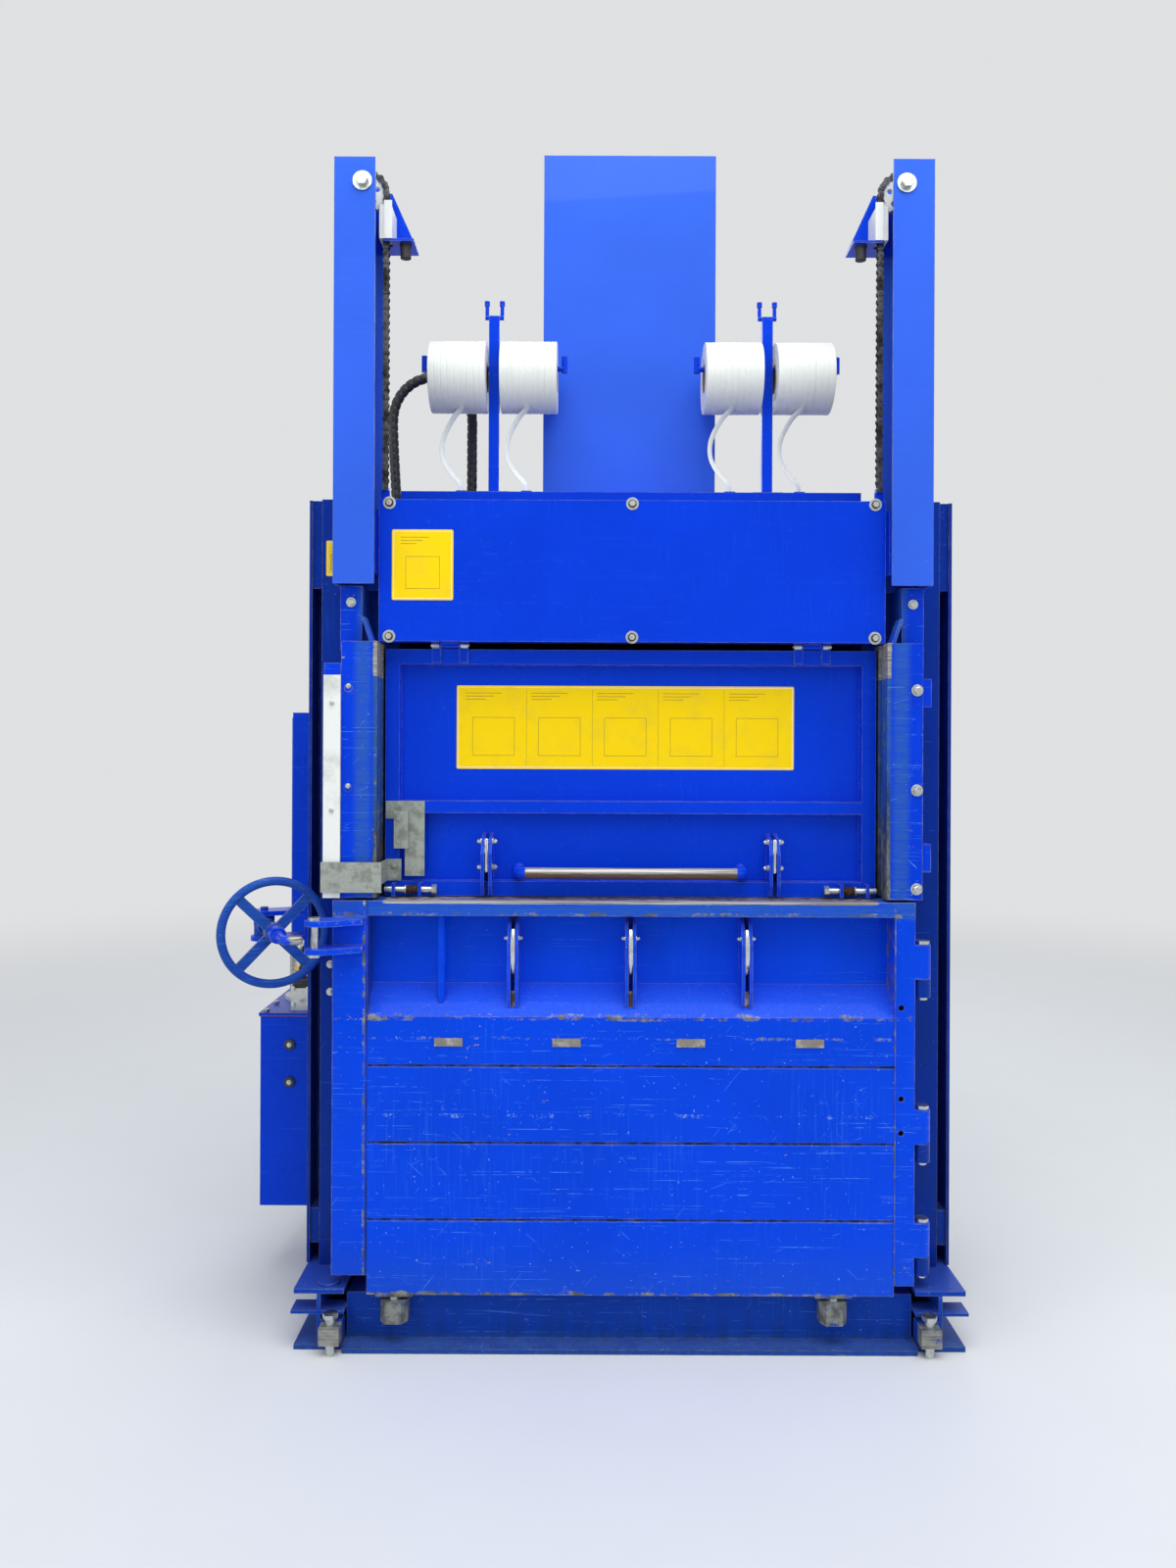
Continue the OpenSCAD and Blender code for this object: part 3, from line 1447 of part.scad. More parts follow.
module flap_handle() {
    pocket = flap_back - flap_skin;
    bend = 30;
    y = pocket - handle_out;
    color(steel) {
        x_bar(-handle_half + bend, handle_half - bend, y, handle_z, handle_r);
        for (s = [-1, 1]) {
            translate([s * (handle_half - bend), y + bend, handle_z]) mirror([s < 0 ? 1 : 0, 0, 0])
                rotate(-90) rotate_extrude(angle = 90) translate([bend, 0]) circle(r = handle_r, $fn = 32);
            y_bar(s * handle_half, y + bend, pocket, handle_z, handle_r);
        }
    }
}

module latch_plate() {
    color(zinc) {
        along_y(flap_y - 4, flap_y) polygon([
            [-624, 1355], [-525, 1355], [-525, 1164], [-575, 1164], [-575, 1310], [-624, 1310]
        ]);
        block([-601, flap_y - 18, 1235], [-565, flap_y - 3, 1330]);
        for (z = [1255, 1312]) front_bolt(-588, z, flap_y - 18, 6);
    }
}

module spring_bolt() {
    x0 = bolt_in;
    x1 = flap_half - 2;
    turns = 7;
    spring_x = bolt_bracket_x[0] + bracket_t / 2 + 1;
    ring_step = (bolt_bracket_x[1] - bolt_bracket_x[0] - bracket_t - bolt_travel - 6) / turns;
    color(zinc) {
        x_bar(x0, x1, bolt_y, bolt_z, bolt_r);
        // Collar that the spring pushes against
        x_bar(spring_x + turns * ring_step, spring_x + turns * ring_step + 3, bolt_y, bolt_z, bolt_r + 4);
        translate([x0, bolt_y, bolt_z]) rotate([0, 90, 0]) cylinder(r = 13, h = 12, $fn = 6);
    }
    // Turns of the spring, closed on the bolt
    color(rust) for (i = [0 : turns - 1])
        translate([spring_x + (i + 0.5) * ring_step, bolt_y, bolt_z])
            rotate([0, 90, 0]) rotate_extrude() translate([bolt_r + 1.6, 0]) circle(r = 2, $fn = 16);
}

module right_spring_bolt() {
    spring_bolt();
}

module left_spring_bolt() {
    on_left() spring_bolt();
}

base_frame();
chamber_floor();
left_side_wall();
right_side_wall();
rear_wall();
head_beams();
left_guide_column();
right_guide_column();
left_upper_post();
right_upper_post();
left_bumper_bracket();
right_bumper_bracket();
rubber_bumpers();
chain_guides();
left_pulley();
right_pulley();
pulley_axles();
left_lift_chain();
right_lift_chain();
left_counterweight();
right_counterweight();
cylinder_cover();
cylinder_barrel();
piston_rod();
press_plate();
left_strap_stand();
right_strap_stand();
strap_roll(-stand_x - roll_x);  // strap_roll_1
strap_roll(-stand_x + roll_x);  // strap_roll_2
strap_roll(stand_x - roll_x);  // strap_roll_3
strap_roll(stand_x + roll_x);  // strap_roll_4
strap_end(strap_ends[0]);  // strap_end_1
strap_end(strap_ends[1]);  // strap_end_2
strap_end(strap_ends[2]);  // strap_end_3
strap_end(strap_ends[3]);  // strap_end_4
hydraulic_hose();
oil_tank();
tank_lid();
pump_block();
pressure_pipe();
control_cabinet();
lock_bracket();
lock_trunnion();
lock_spindle();
lock_handwheel();
lock_hook();
lock_pin();
bale_door();
strap_clamps();
bale_hinge_pins();
adjusting_screws();
glide_strip();
slide_plate();
header_panel();
header_bolts();
loading_flap();
flap_handle();
latch_plate();
left_spring_bolt();
right_spring_bolt();
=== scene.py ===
"""Recycling baler: looks, fittings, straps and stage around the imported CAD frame."""
import math
import random
from functools import reduce

import bpy
from bpy.props import FloatProperty, FloatVectorProperty, PointerProperty
from mathutils import Matrix, Vector


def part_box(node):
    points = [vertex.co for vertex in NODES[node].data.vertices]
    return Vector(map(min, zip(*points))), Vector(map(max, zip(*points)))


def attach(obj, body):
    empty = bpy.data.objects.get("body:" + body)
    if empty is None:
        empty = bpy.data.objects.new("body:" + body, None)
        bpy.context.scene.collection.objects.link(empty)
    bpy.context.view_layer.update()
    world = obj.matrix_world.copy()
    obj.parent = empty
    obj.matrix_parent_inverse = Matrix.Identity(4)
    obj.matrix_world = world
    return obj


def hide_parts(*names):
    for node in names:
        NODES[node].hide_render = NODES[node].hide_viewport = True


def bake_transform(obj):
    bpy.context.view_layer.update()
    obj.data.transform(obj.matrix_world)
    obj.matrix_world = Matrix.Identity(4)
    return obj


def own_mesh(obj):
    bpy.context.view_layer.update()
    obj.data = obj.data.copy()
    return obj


bl_info = {
    "name": "Recycling Baler",
    "version": (1, 0, 0),
    "blender": (4, 5, 0),
    "location": "View3D > Sidebar > Baler",
    "description": "Paints a recycling baler and adds its straps, hose, chains and small fittings",
    "category": "Object",
}

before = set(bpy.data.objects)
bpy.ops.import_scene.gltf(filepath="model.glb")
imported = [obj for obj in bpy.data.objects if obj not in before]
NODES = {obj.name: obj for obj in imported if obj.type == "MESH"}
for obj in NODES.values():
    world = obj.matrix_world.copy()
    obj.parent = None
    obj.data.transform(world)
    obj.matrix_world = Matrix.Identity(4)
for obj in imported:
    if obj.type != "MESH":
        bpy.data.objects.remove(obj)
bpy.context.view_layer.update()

# Places that the CAD source gives, in metres
DOOR_FACE = -0.475
HEADER_FACE = -0.440
FLAP_SHEET = -0.356
COLUMN_FACE = -0.345
PULLEY_X, PULLEY_Y, PULLEY_Z = 0.672, -0.420, 2.890
PULLEY_R = 0.0488
CHAIN_PITCH = 0.01905
LUG_TOP = 2.140
ROLL_Y, ROLL_Z = -0.262, 2.4753
ROLL_XS = (-0.455, -0.269, 0.269, 0.455)
STRAP_XS = (-0.447, -0.275, 0.263, 0.447)
DOOR_SEAMS = (-0.653, 0.655)
DOOR_LEFT, DOOR_TOP = -0.741, 1.0735
GROOVE_TOPS = (0.704, 0.513, 0.322)
LUG_EDGES = (0.987, 1.001, 1.055, 1.069)
FLAP_HINGE_X, FLAP_AXIS_Y, FLAP_AXIS_Z = 0.462, -0.390, 1.752
BARREL_R, BARREL_L = 0.008, 0.092
STRAP_POINTS = [
    (0, -0.3098, 2.3927), (0, -0.2948, 2.3840), (-0.018, -0.282, 2.368), (-0.036, -0.275, 2.340),
    (-0.050, -0.273, 2.306), (-0.052, -0.273, 2.270), (-0.040, -0.274, 2.236),
    (-0.018, -0.274, 2.208), (-0.003, -0.274, 2.190), (0, -0.274, 2.166),
]
HOSE_START, HOSE_END = (-0.640, -0.140, 2.063), (-0.101, 0, 2.020)

# The photographer's place, and the tone of the studio behind the machine
CAMERA_PLACE, CAMERA_ROLL, CAMERA_SHIFT = (-0.109, -3.391, 1.485), math.radians(-0.25), -34 / 1600
BACKDROP = (0.74, 0.75, 0.76, 1)

FINISHES = {}


def hose_route():
    """Up from the wall's port, over in a loop, down, and round to the cylinder's port."""
    (x0, y0, z0), z1 = HOSE_START, HOSE_END[2]
    left, wide, high, loop_z, rise_z = -0.651, 0.109, 0.118, 2.396, z0 + 0.045
    turn, aim, last = 0.130, math.radians(29), 0.180
    down, low = left + 2 * wide, z1 + turn
    reach = (-y0 - last * (1 - math.cos(aim))) / math.sin(aim)

    def way(d):
        return down + d * math.cos(aim), y0 + d * math.sin(aim)

    points = [HOSE_START]
    for k in range(6):
        t = k / 5
        points.append((x0 + (left - x0) * t * t * (3 - 2 * t), y0, rise_z + (loop_z - rise_z) * t))
    for k in range(8, -1, -1):
        a = math.radians(20 * k)
        points.append((left + wide + wide * math.cos(a), y0, loop_z + high * math.sin(a)))
    points += [(down, y0, loop_z - (loop_z - low) * k / 5) for k in range(1, 5)]
    for k in range(5):
        a = math.radians(22.5 * k)
        points.append((*way(turn * (1 - math.cos(a))), low - turn * math.sin(a)))
    points += [(*way((turn + reach) / 2), z1), (*way(reach), z1)]
    for a in (aim / 2, 0):
        points.append((way(reach)[0] + last * (math.sin(aim) - math.sin(a)), last * (math.cos(a) - 1), z1))
    return points + [HOSE_END]


# Sizes and colours that a user would change

def measure(name, description, default, low, high):
    return FloatProperty(
        name=name, description=description, default=default, min=low, max=high, unit="LENGTH")


def colour(name, description, default):
    return FloatVectorProperty(
        name=name, description=description, default=default, min=0, max=1, subtype="COLOR")


class BalerSizes(bpy.types.PropertyGroup):
    strap_width: measure("Strap width", "Width of the polyester strap", 0.014, 0.009, 0.02)
    strap_thickness: measure("Strap thickness", "Thickness of the polyester strap", 0.0012, 0.0006, 0.0014)
    hose_diameter: measure("Hose diameter", "Diameter of the wrapped hydraulic hose", 0.028, 0.02, 0.03)
    sticker_thickness: measure("Sticker thickness", "Thickness of the yellow plates", 0.0008, 0.0003, 0.002)
    weld_size: measure("Weld size", "Width of the weld beads", 0.005, 0.002, 0.01)
    camera_lens: FloatProperty(
        name="Camera lens", description="Focal length on a 36 mm high sensor, in millimetres",
        default=27.0, min=15, max=80)


class BalerColours(bpy.types.PropertyGroup):
    paint: colour("Frame paint", "Gloss blue of the frame", (0.001, 0.036, 0.60))
    cover_paint: colour("Cover paint", "Blue of the posts and the cylinder cover", (0.034, 0.110, 0.66))
    door_paint: colour("Door paint", "Worn blue of the bale door", (0.001, 0.050, 0.68))
    base_paint: colour("Base paint", "Dirty blue of the base", (0.001, 0.032, 0.36))
    # The side paint is darkened partly for dirt and partly as painted shade on the walls behind the door
    side_paint_and_shade: colour("Side paint", "Duller blue of the walls behind the door", (0.001, 0.022, 0.30))
    zinc: colour("Zinc", "Plated fasteners", (0.58, 0.61, 0.58))
    sticker: colour("Sticker yellow", "Ground colour of the blank stickers", (0.91, 0.62, 0.0))
    strap: colour("Strap white", "Colour of the polyester strap", (0.76, 0.77, 0.71))
    floor: colour("Floor", "Colour of the studio floor", (0.72, 0.72, 0.71))


def sizes():
    return bpy.context.scene.baler_sizes


def colours():
    return bpy.context.scene.baler_colours


# Modelling helpers

def adjust(thing, **values):
    """Sets several attributes at once."""
    for key, value in values.items():
        setattr(thing, key, value)
    return thing


def linked(name, data):
    """A new object in the scene."""
    obj = bpy.data.objects.new(name, data)
    bpy.context.collection.objects.link(obj)
    return obj


def deselect():
    if bpy.context.mode != "OBJECT":
        bpy.ops.object.mode_set(mode="OBJECT")
    bpy.ops.object.select_all(action="DESELECT")


def pick(obj):
    deselect()
    obj.select_set(True)
    bpy.context.view_layer.objects.active = obj


def named(name):
    obj = bpy.context.object
    obj.name = obj.data.name = name
    return obj


def settle(obj):
    """Puts the object's place into its mesh."""
    pick(obj)
    bpy.ops.object.transform_apply(location=True, rotation=True, scale=True)
    return obj


def slab(name, low, high):
    deselect()
    low, high = Vector(low), Vector(high)
    bpy.ops.mesh.primitive_cube_add(size=1, location=(low + high) / 2)
    obj = named(name)
    obj.scale = high - low
    return settle(obj)


def bar(name, start, end, radius, sides=24):
    deselect()
    start, end = Vector(start), Vector(end)
    line = end - start
    bpy.ops.mesh.primitive_cylinder_add(
        vertices=sides, radius=radius, depth=line.length, location=(start + end) / 2,
        rotation=line.to_track_quat("Z", "Y").to_euler())
    return settle(named(name))


def soften(obj, width, segments=2):
    """Bevels every edge that turns by more than 35 degrees."""
    pick(obj)
    bevel = adjust(obj.modifiers.new("Bevel", "BEVEL"), width=width, segments=segments,
                   limit_method="ANGLE", angle_limit=math.radians(35))
    bpy.ops.object.modifier_apply(modifier=bevel.name)
    return obj


def smooth(obj, angle=35):
    pick(obj)
    bpy.ops.object.shade_smooth_by_angle(angle=math.radians(angle))
    return obj


def edit(obj, wanted, *steps, kind="FACE"):
    """Selects faces or edges by their place, then runs the edit steps on them."""
    pick(obj)
    bpy.ops.object.mode_set(mode="EDIT")
    bpy.ops.mesh.select_mode(type=kind)
    bpy.ops.mesh.select_all(action="DESELECT")
    bpy.ops.object.mode_set(mode="OBJECT")
    mesh = obj.data
    if kind == "FACE":
        for face in mesh.polygons:
            face.select = bool(wanted(face.center, face.normal))
    else:
        for edge in mesh.edges:
            a, b = (mesh.vertices[i].co for i in edge.vertices)
            edge.select = bool(wanted((a + b) / 2, (b - a).normalized()))
    bpy.ops.object.mode_set(mode="EDIT")
    for step in steps:
        step()
    bpy.ops.object.mode_set(mode="OBJECT")
    return obj


def inset(thickness, depth=0.0):
    return lambda: bpy.ops.mesh.inset(thickness=thickness, depth=depth)


def swing(steps, degrees, centre, axis):
    return lambda: bpy.ops.mesh.spin(steps=steps, angle=math.radians(degrees), center=centre, axis=axis)


def heal():
    bpy.ops.mesh.select_all(action="SELECT")
    bpy.ops.mesh.remove_doubles(threshold=0.00002)
    bpy.ops.mesh.normals_make_consistent(inside=False)


def copied(source, name, matrix):
    """A copy with its own mesh, moved by a matrix."""
    obj = source.copy()
    obj.data = source.data.copy()
    obj.name = obj.data.name = name
    obj.data.transform(matrix)
    if matrix.determinant() < 0:
        obj.data.flip_normals()
    bpy.context.collection.objects.link(obj)
    return obj


def joined(name, pieces):
    deselect()
    for piece in pieces:
        piece.select_set(True)
    bpy.context.view_layer.objects.active = pieces[0]
    if len(pieces) > 1:
        bpy.ops.object.join()
    return named(name)


def drop(obj):
    bpy.data.objects.remove(obj, do_unlink=True)


def skin(name, points, edges, faces):
    """A linked object from points that are joined by edges or faces."""
    mesh = bpy.data.meshes.new(name)
    mesh.from_pydata(points, edges, faces)
    return linked(name, mesh)


def lathe(name, profile, place, axis, steps=48):
    """Spins a profile of (distance along the axis, radius) round the axis at a place."""
    axis = Vector(axis).normalized()
    turn = axis.to_track_quat("Z", "Y").to_matrix()
    points = [Vector(place) + turn @ Vector((radius, 0, along)) for along, radius in profile]
    obj = skin(name, points, [(i, i + 1) for i in range(len(points) - 1)], [])
    pick(obj)
    bpy.ops.object.mode_set(mode="EDIT")
    bpy.ops.mesh.select_all(action="SELECT")
    bpy.ops.mesh.spin(steps=steps, angle=2 * math.pi, center=place, axis=axis)
    heal()
    bpy.ops.object.mode_set(mode="OBJECT")
    return obj


def circle(radius, sides):
    return [(radius * math.cos(2 * math.pi * k / sides), radius * math.sin(2 * math.pi * k / sides))
            for k in range(sides)]


def path_length(points):
    return sum((b - a).length for a, b in zip(points, points[1:]))


def flow(points, step):
    """Even points along a smooth curve through the given ones."""
    points = [Vector(p) for p in points]
    ends = [2 * points[0] - points[1], *points, 2 * points[-1] - points[-2]]
    fine = []
    for i in range(1, len(ends) - 2):
        p0, p1, p2, p3 = ends[i - 1:i + 3]
        for k in range(24):
            t = k / 24
            fine.append(0.5 * (2 * p1 + (p2 - p0) * t + (2 * p0 - 5 * p1 + 4 * p2 - p3) * t * t
                               + (3 * p1 - p0 - 3 * p2 + p3) * t ** 3))
    fine.append(points[-1])
    total = path_length(fine)
    count = max(2, round(total / step))
    even, run, wanted = [fine[0]], 0.0, total / count
    for a, b in zip(fine, fine[1:]):
        length = (b - a).length
        while run + length >= wanted * len(even) - 1e-9 and len(even) < count:
            even.append(a.lerp(b, (wanted * len(even) - run) / length))
        run += length
    even.append(fine[-1])
    return even


def sleeve(name, points, section, side):
    """Skins a tube along points; section(i) is its outline, in (across, out) pairs, at point i."""
    verts, faces, width = [], [], len(section(0))
    side = Vector(side).normalized()
    for i, point in enumerate(points):
        ahead = points[min(i + 1, len(points) - 1)] - points[max(i - 1, 0)]
        ahead.normalize()
        side = (side - ahead * side.dot(ahead)).normalized()
        out = side.cross(ahead)
        verts += [point + side * a + out * b for a, b in section(i)]
    for i in range(len(points) - 1):
        for k in range(width):
            n = (k + 1) % width
            faces.append((i * width + k, i * width + n, (i + 1) * width + n, (i + 1) * width + k))
    faces.append(tuple(range(width)))
    faces.append(tuple(range(len(verts) - width, len(verts))))
    return edit(skin(name, verts, [], faces), lambda c, n: True, heal)


def coat(obj, finish):
    """Gives a piece its material."""
    obj.data.materials.clear()
    obj.data.materials.append(FINISHES[finish])


def dress(obj, body, finish, slot, *nodes):
    """Gives a finished piece its body, its looks and the nodes that it stands for."""
    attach(obj, body)
    coat(obj, finish)
    if nodes:
        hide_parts(*nodes)
    return obj


def fitted(name, parts, body, finish, slot, *nodes, bevel=None, angle=None):
    """Joins parts into one piece, bevels and smooths it where asked, and dresses it."""
    piece = joined(name, parts)
    if bevel:
        soften(piece, *bevel)
    if angle:
        smooth(piece, angle)
    return dress(piece, body, finish, slot, *nodes)


# Shader building

def formula(operation, swapped=False):
    def apply(self, other):
        return self.wires.math(operation, *((other, self) if swapped else (self, other)))
    return apply


class Value:
    """An output socket that can stand in a formula, where a | b is the larger of two."""
    __add__ = __radd__ = formula("ADD")
    __mul__ = __rmul__ = formula("MULTIPLY")
    __sub__ = formula("SUBTRACT")
    __rsub__ = formula("SUBTRACT", True)
    __or__ = formula("MAXIMUM")

    def __init__(self, wires, socket):
        self.wires, self.socket = wires, socket

    def __abs__(self):
        return self.wires.math("ABSOLUTE", self)

    def part(self, which):
        return self.wires.get(which, "SeparateXYZ", {0: self})

    def span(self, low, high, to_low=0.0, to_high=1.0):
        return self.wires.get(0, "MapRange", dict(enumerate((self, low, high, to_low, to_high))),
                              interpolation_type="SMOOTHSTEP")

    def band(self, middle, half, strength=1.0):
        """Full strength at a height or a width, 0 at half a band away from it."""
        return abs(self - middle).span(half, half * 0.25, 0.0, strength)

    def within(self, low, high, strength=1.0):
        """Full strength between two values, 0 outside them."""
        return self.span(low - 0.001, low + 0.001) * self.span(high + 0.001, high - 0.001) * strength


class Wires:
    """Short names for the nodes of one node tree."""

    def __init__(self, tree):
        self.tree = tree

    def feed(self, socket, value):
        if isinstance(value, Value):
            self.tree.links.new(value.socket, socket)
        else:
            socket.default_value = value

    def node(self, kind, inputs, **settings):
        node = adjust(self.tree.nodes.new("ShaderNode" + kind), **settings)
        for key, value in inputs.items():
            self.feed(node.inputs[key], value)
        return node

    def get(self, output, kind, inputs={}, **settings):
        return Value(self, self.node(kind, inputs, **settings).outputs[output])

    def use(self, tree, inputs):
        """A node group's outputs by name."""
        outputs = self.node("Group", inputs, node_tree=tree).outputs
        return {socket.name: Value(self, socket) for socket in outputs}

    def math(self, operation, *values, clamp=False):
        return self.get(0, "Math", dict(enumerate(values)), operation=operation, use_clamp=clamp)

    def mix(self, factor, a, b, blend="MIX"):
        return self.get(2, "Mix", {0: factor, 6: a, 7: b}, data_type="RGBA", blend_type=blend)

    def place(self, stretch=(1, 1, 1), turn=(0, 0, 0), shift=(0, 0, 0)):
        """Object coordinates, moved and turned first and stretched after that."""
        return self.get(0, "Mapping", {
            "Vector": self.get("Object", "TexCoord"), "Scale": [1 / value for value in stretch],
            "Rotation": turn, "Location": shift}, vector_type="TEXTURE")

    def xyz(self):
        place = self.place()
        return [place.part(i) for i in range(3)]

    def noise(self, scale, detail=3.0, rough=0.55, *place):
        return self.get("Fac", "TexNoise", {
            "Vector": self.place(*place), "Scale": scale, "Detail": detail, "Roughness": rough})

    def bump(self, surface, height, strength=1.0):
        self.feed(surface.inputs["Normal"], self.get(0, "Bump", {
            "Strength": strength, "Distance": 1.0, "Height": height}))

    def close(self, **outputs):
        """Ends a node group with its outputs."""
        out = self.tree.nodes.new("NodeGroupOutput")
        for label, value in outputs.items():
            self.feed(out.inputs[label], value)
        return self.tree


def group(name, inputs, *outputs):
    """Starts a node group; a tuple makes a colour input, and the output Color is one too."""
    tree = bpy.data.node_groups.new(name, "ShaderNodeTree")
    for label, value in inputs.items():
        kind = "NodeSocketColor" if isinstance(value, tuple) else "NodeSocketFloat"
        tree.interface.new_socket(name=label, in_out="INPUT", socket_type=kind).default_value = value
    for label in outputs:
        kind = "NodeSocketColor" if label == "Color" else "NodeSocketFloat"
        tree.interface.new_socket(name=label, in_out="OUTPUT", socket_type=kind)
    w = Wires(tree)
    given = tree.nodes.new("NodeGroupInput").outputs
    return w, {label: Value(w, given[label]) for label in inputs}


def most(masks):
    return reduce(lambda a, b: a | b, masks)


def edge_wear_group():
    """Mask of the outer edges, broken up by noise, where paint chips off first."""
    w, given = group("edge_wear", {"Reach": 0.003, "Amount": 0.5}, "Mask", "Edge")
    rounded, flat = w.get(0, "Bevel", {"Radius": given["Reach"]}, samples=3), w.get("Normal", "NewGeometry")
    facing = w.get("Value", "VectorMath", {0: rounded, 1: flat}, operation="DOT_PRODUCT")
    edge = w.math("MULTIPLY", 1.0 - facing, 5.0, clamp=True)
    rough = w.noise(60, 5, 0.7) * 0.9 + w.noise(7, 2) * 0.7
    total = edge * 0.9 + (given["Amount"] * 0.75 + (rough - 1.45))
    return w.close(Mask=total.span(0.12, 0.22) * edge.span(0.02, 0.10), Edge=edge)


def scratch_group():
    """Thin straight scratches, most of them level, short upright rubs and small pale specks."""
    w, given = group("scratches", {"Amount": 0.5}, "Lines", "Rubs", "Specks")
    amount = given["Amount"]
    lines = most(w.noise(1, 1, 0.5, stretch, (0, turn, 0), (shift, 0, shift)).span(low, low + 0.035)
                 for stretch, turn, low, shift in (
                     ((3, 3, 360), 0.0, 0.70, 0.0), ((6, 6, 300), 0.06, 0.725, 3.1),
                     ((9, 9, 290), 0.75, 0.750, 1.7), ((11, 11, 300), -0.9, 0.755, 5.2),
                     ((14, 14, 300), -0.35, 0.755, 8.6)))
    broken = w.noise(1, 2, 0.55, (34, 34, 34)).span(0.40, 0.55)
    rubs = w.noise(1, 3, 0.6, (210, 210, 9)).span(0.52, 0.72) * w.noise(3.4, 2).span(0.42, 0.68)
    return w.close(Lines=w.math("MULTIPLY", lines * broken, amount * 1.3, clamp=True), Rubs=rubs * amount,
                   Specks=w.noise(130, 2, 0.5).span(0.715, 0.76) * amount)


def paint_group(wear_tree, scratch_tree):
    """Gloss paint over primer and steel, with chips, scratches, scuffs, and dust and painted skylight on what
    faces up.
    """
    w, given = group(
        "worn_paint",
        {"Paint": (0, 0, 1, 1), "Wear": 0.4, "Scratches": 0.3, "DustAndSkylight": 0.3, "Shine": 0.3, "Bare": 0.0,
         "Scuffed": 0.0, "Rust": 0.0, "Dull": 0.0, "Polished": 0.0, "GrimeAndShade": 0.0},
        "Color", "Roughness", "Metallic", "Height")
    wear = w.use(wear_tree, {"Reach": 0.0030, "Amount": given["Wear"]})
    lines, rubs, specks = w.use(scratch_tree, {"Amount": given["Scratches"]}).values()
    speckle, blotch = w.noise(220, 3, 0.7), w.noise(24, 4, 0.65, (1, 1, 1.8))
    paint = w.mix(1.0, given["Paint"], w.noise(2.3, 4).span(0.3, 0.7, 0.92, 1.06), "MULTIPLY")
    dull = given["Dull"] * w.noise(1, 3, 0.7, (14, 14, 260)).span(0.30, 0.62, 0.45, 1.0)
    paint = w.mix(dull, paint, (0.030, 0.105, 0.340, 1))
    paint = w.mix(rubs * 0.55, paint, w.mix(0.5, given["Paint"], (0.04, 0.22, 0.78, 1)))
    paint = w.mix(lines * 0.55, paint, (0.10, 0.30, 0.86, 1))
    paint = w.mix(specks * 0.8, paint, (0.30, 0.48, 0.82, 1))
    # Scuffs break up into flecks
    scuffed = given["Scuffed"]
    flecks = (blotch * 0.9 + (speckle * 0.7 - 0.8) + scuffed).span(0.62, 0.80) * scuffed.span(0.02, 0.15)
    paint = w.mix(flecks * 0.75, paint, (0.20, 0.40, 0.78, 1))
    # Rubbed edges are a little lighter before they chip
    paint = w.mix(wear["Edge"] * 0.40, paint, (0.08, 0.27, 0.88, 1))
    # Chips away from the edges
    chance = w.noise(4.2, 2) * (given["Scratches"] + 0.35)
    chip = (speckle * 0.22 + blotch).span(0.80, 0.83) * chance.span(0.56, 0.66)
    torn = (blotch * 0.8 + (speckle * 0.35 - 0.575) + given["Bare"]).span(0.46, 0.56)
    bare = wear["Mask"] | chip | torn * given["Bare"].span(0.02, 0.15)
    tone = w.noise(35, 4, 0.6)
    steel = w.mix(tone.span(0.38, 0.62), (0.100, 0.106, 0.090, 1), (0.250, 0.252, 0.218, 1))
    streaks = w.mix(w.noise(1, 3, 0.65, (3, 90, 420)).span(0.36, 0.62),
                    (0.15, 0.115, 0.085, 1), (0.60, 0.58, 0.54, 1))
    steel = w.mix(given["Polished"], steel, streaks)
    steel = w.mix((tone + given["Rust"]).span(0.66, 0.82) * 0.9, steel, (0.120, 0.060, 0.034, 1))
    # Near-black mix: real grime, and painted shade in the door grooves, beside the door stile and on the
    # inner guide faces
    grime_and_shade = given["GrimeAndShade"] * w.noise(1, 4, 0.6, (40, 40, 5)).span(0.40, 0.62, 0.35, 1.0)
    colour = w.mix(grime_and_shade, w.mix(bare, paint, steel), (0.012, 0.020, 0.032, 1))
    # Up-facing faces go paler: real dust, and painted skylight on the slope
    up = w.get("Normal", "NewGeometry").part(2).span(0.55, 0.95)
    dust_and_skylight = up * (given["DustAndSkylight"] * speckle.span(0.25, 0.8))
    polish = w.noise(9, 4) * 0.20 + given["Shine"] + (rubs + (dust_and_skylight + dull)) * 0.30
    return w.close(
        Color=w.mix(dust_and_skylight, colour, (0.20, 0.24, 0.34, 1)),
        Roughness=w.math("MAXIMUM", polish, bare * 0.50, clamp=True),
        Metallic=bare * (given["Polished"] * 0.35 + 0.30),
        Height=w.noise(330, 2, 0.5) * 0.00006 + w.noise(3.5, 2) * 0.0022 - (bare | lines) * 0.00022)


def metal_group():
    """Plated or bare metal: spangle, grain and stains."""
    w, given = group("worn_metal", {"Bright": (0.6, 0.6, 0.6, 1), "Stain": (0.2, 0.15, 0.1, 1),
                                    "Stains": 0.3, "Rough": 0.35}, "Color", "Roughness", "Height")
    patches = w.noise(30, 5, 0.65)
    spangle = w.get("Color", "TexVoronoi", {"Vector": w.place(), "Scale": 160}, feature="F1").part(0)
    bright = w.mix(1.0, given["Bright"], spangle * 0.16 + 0.90, "MULTIPLY")
    high = 0.85 - given["Stains"] * 0.5
    mask = patches.span(high - 0.18, high)
    return w.close(
        Color=w.mix(mask, bright, given["Stain"]),
        Roughness=w.math("ADD", given["Rough"], patches * 0.25 + mask * 0.3, clamp=True),
        Height=w.noise(1, 3, 0.55, (40, 40, 600)) * 0.00004 + patches * 0.00012)


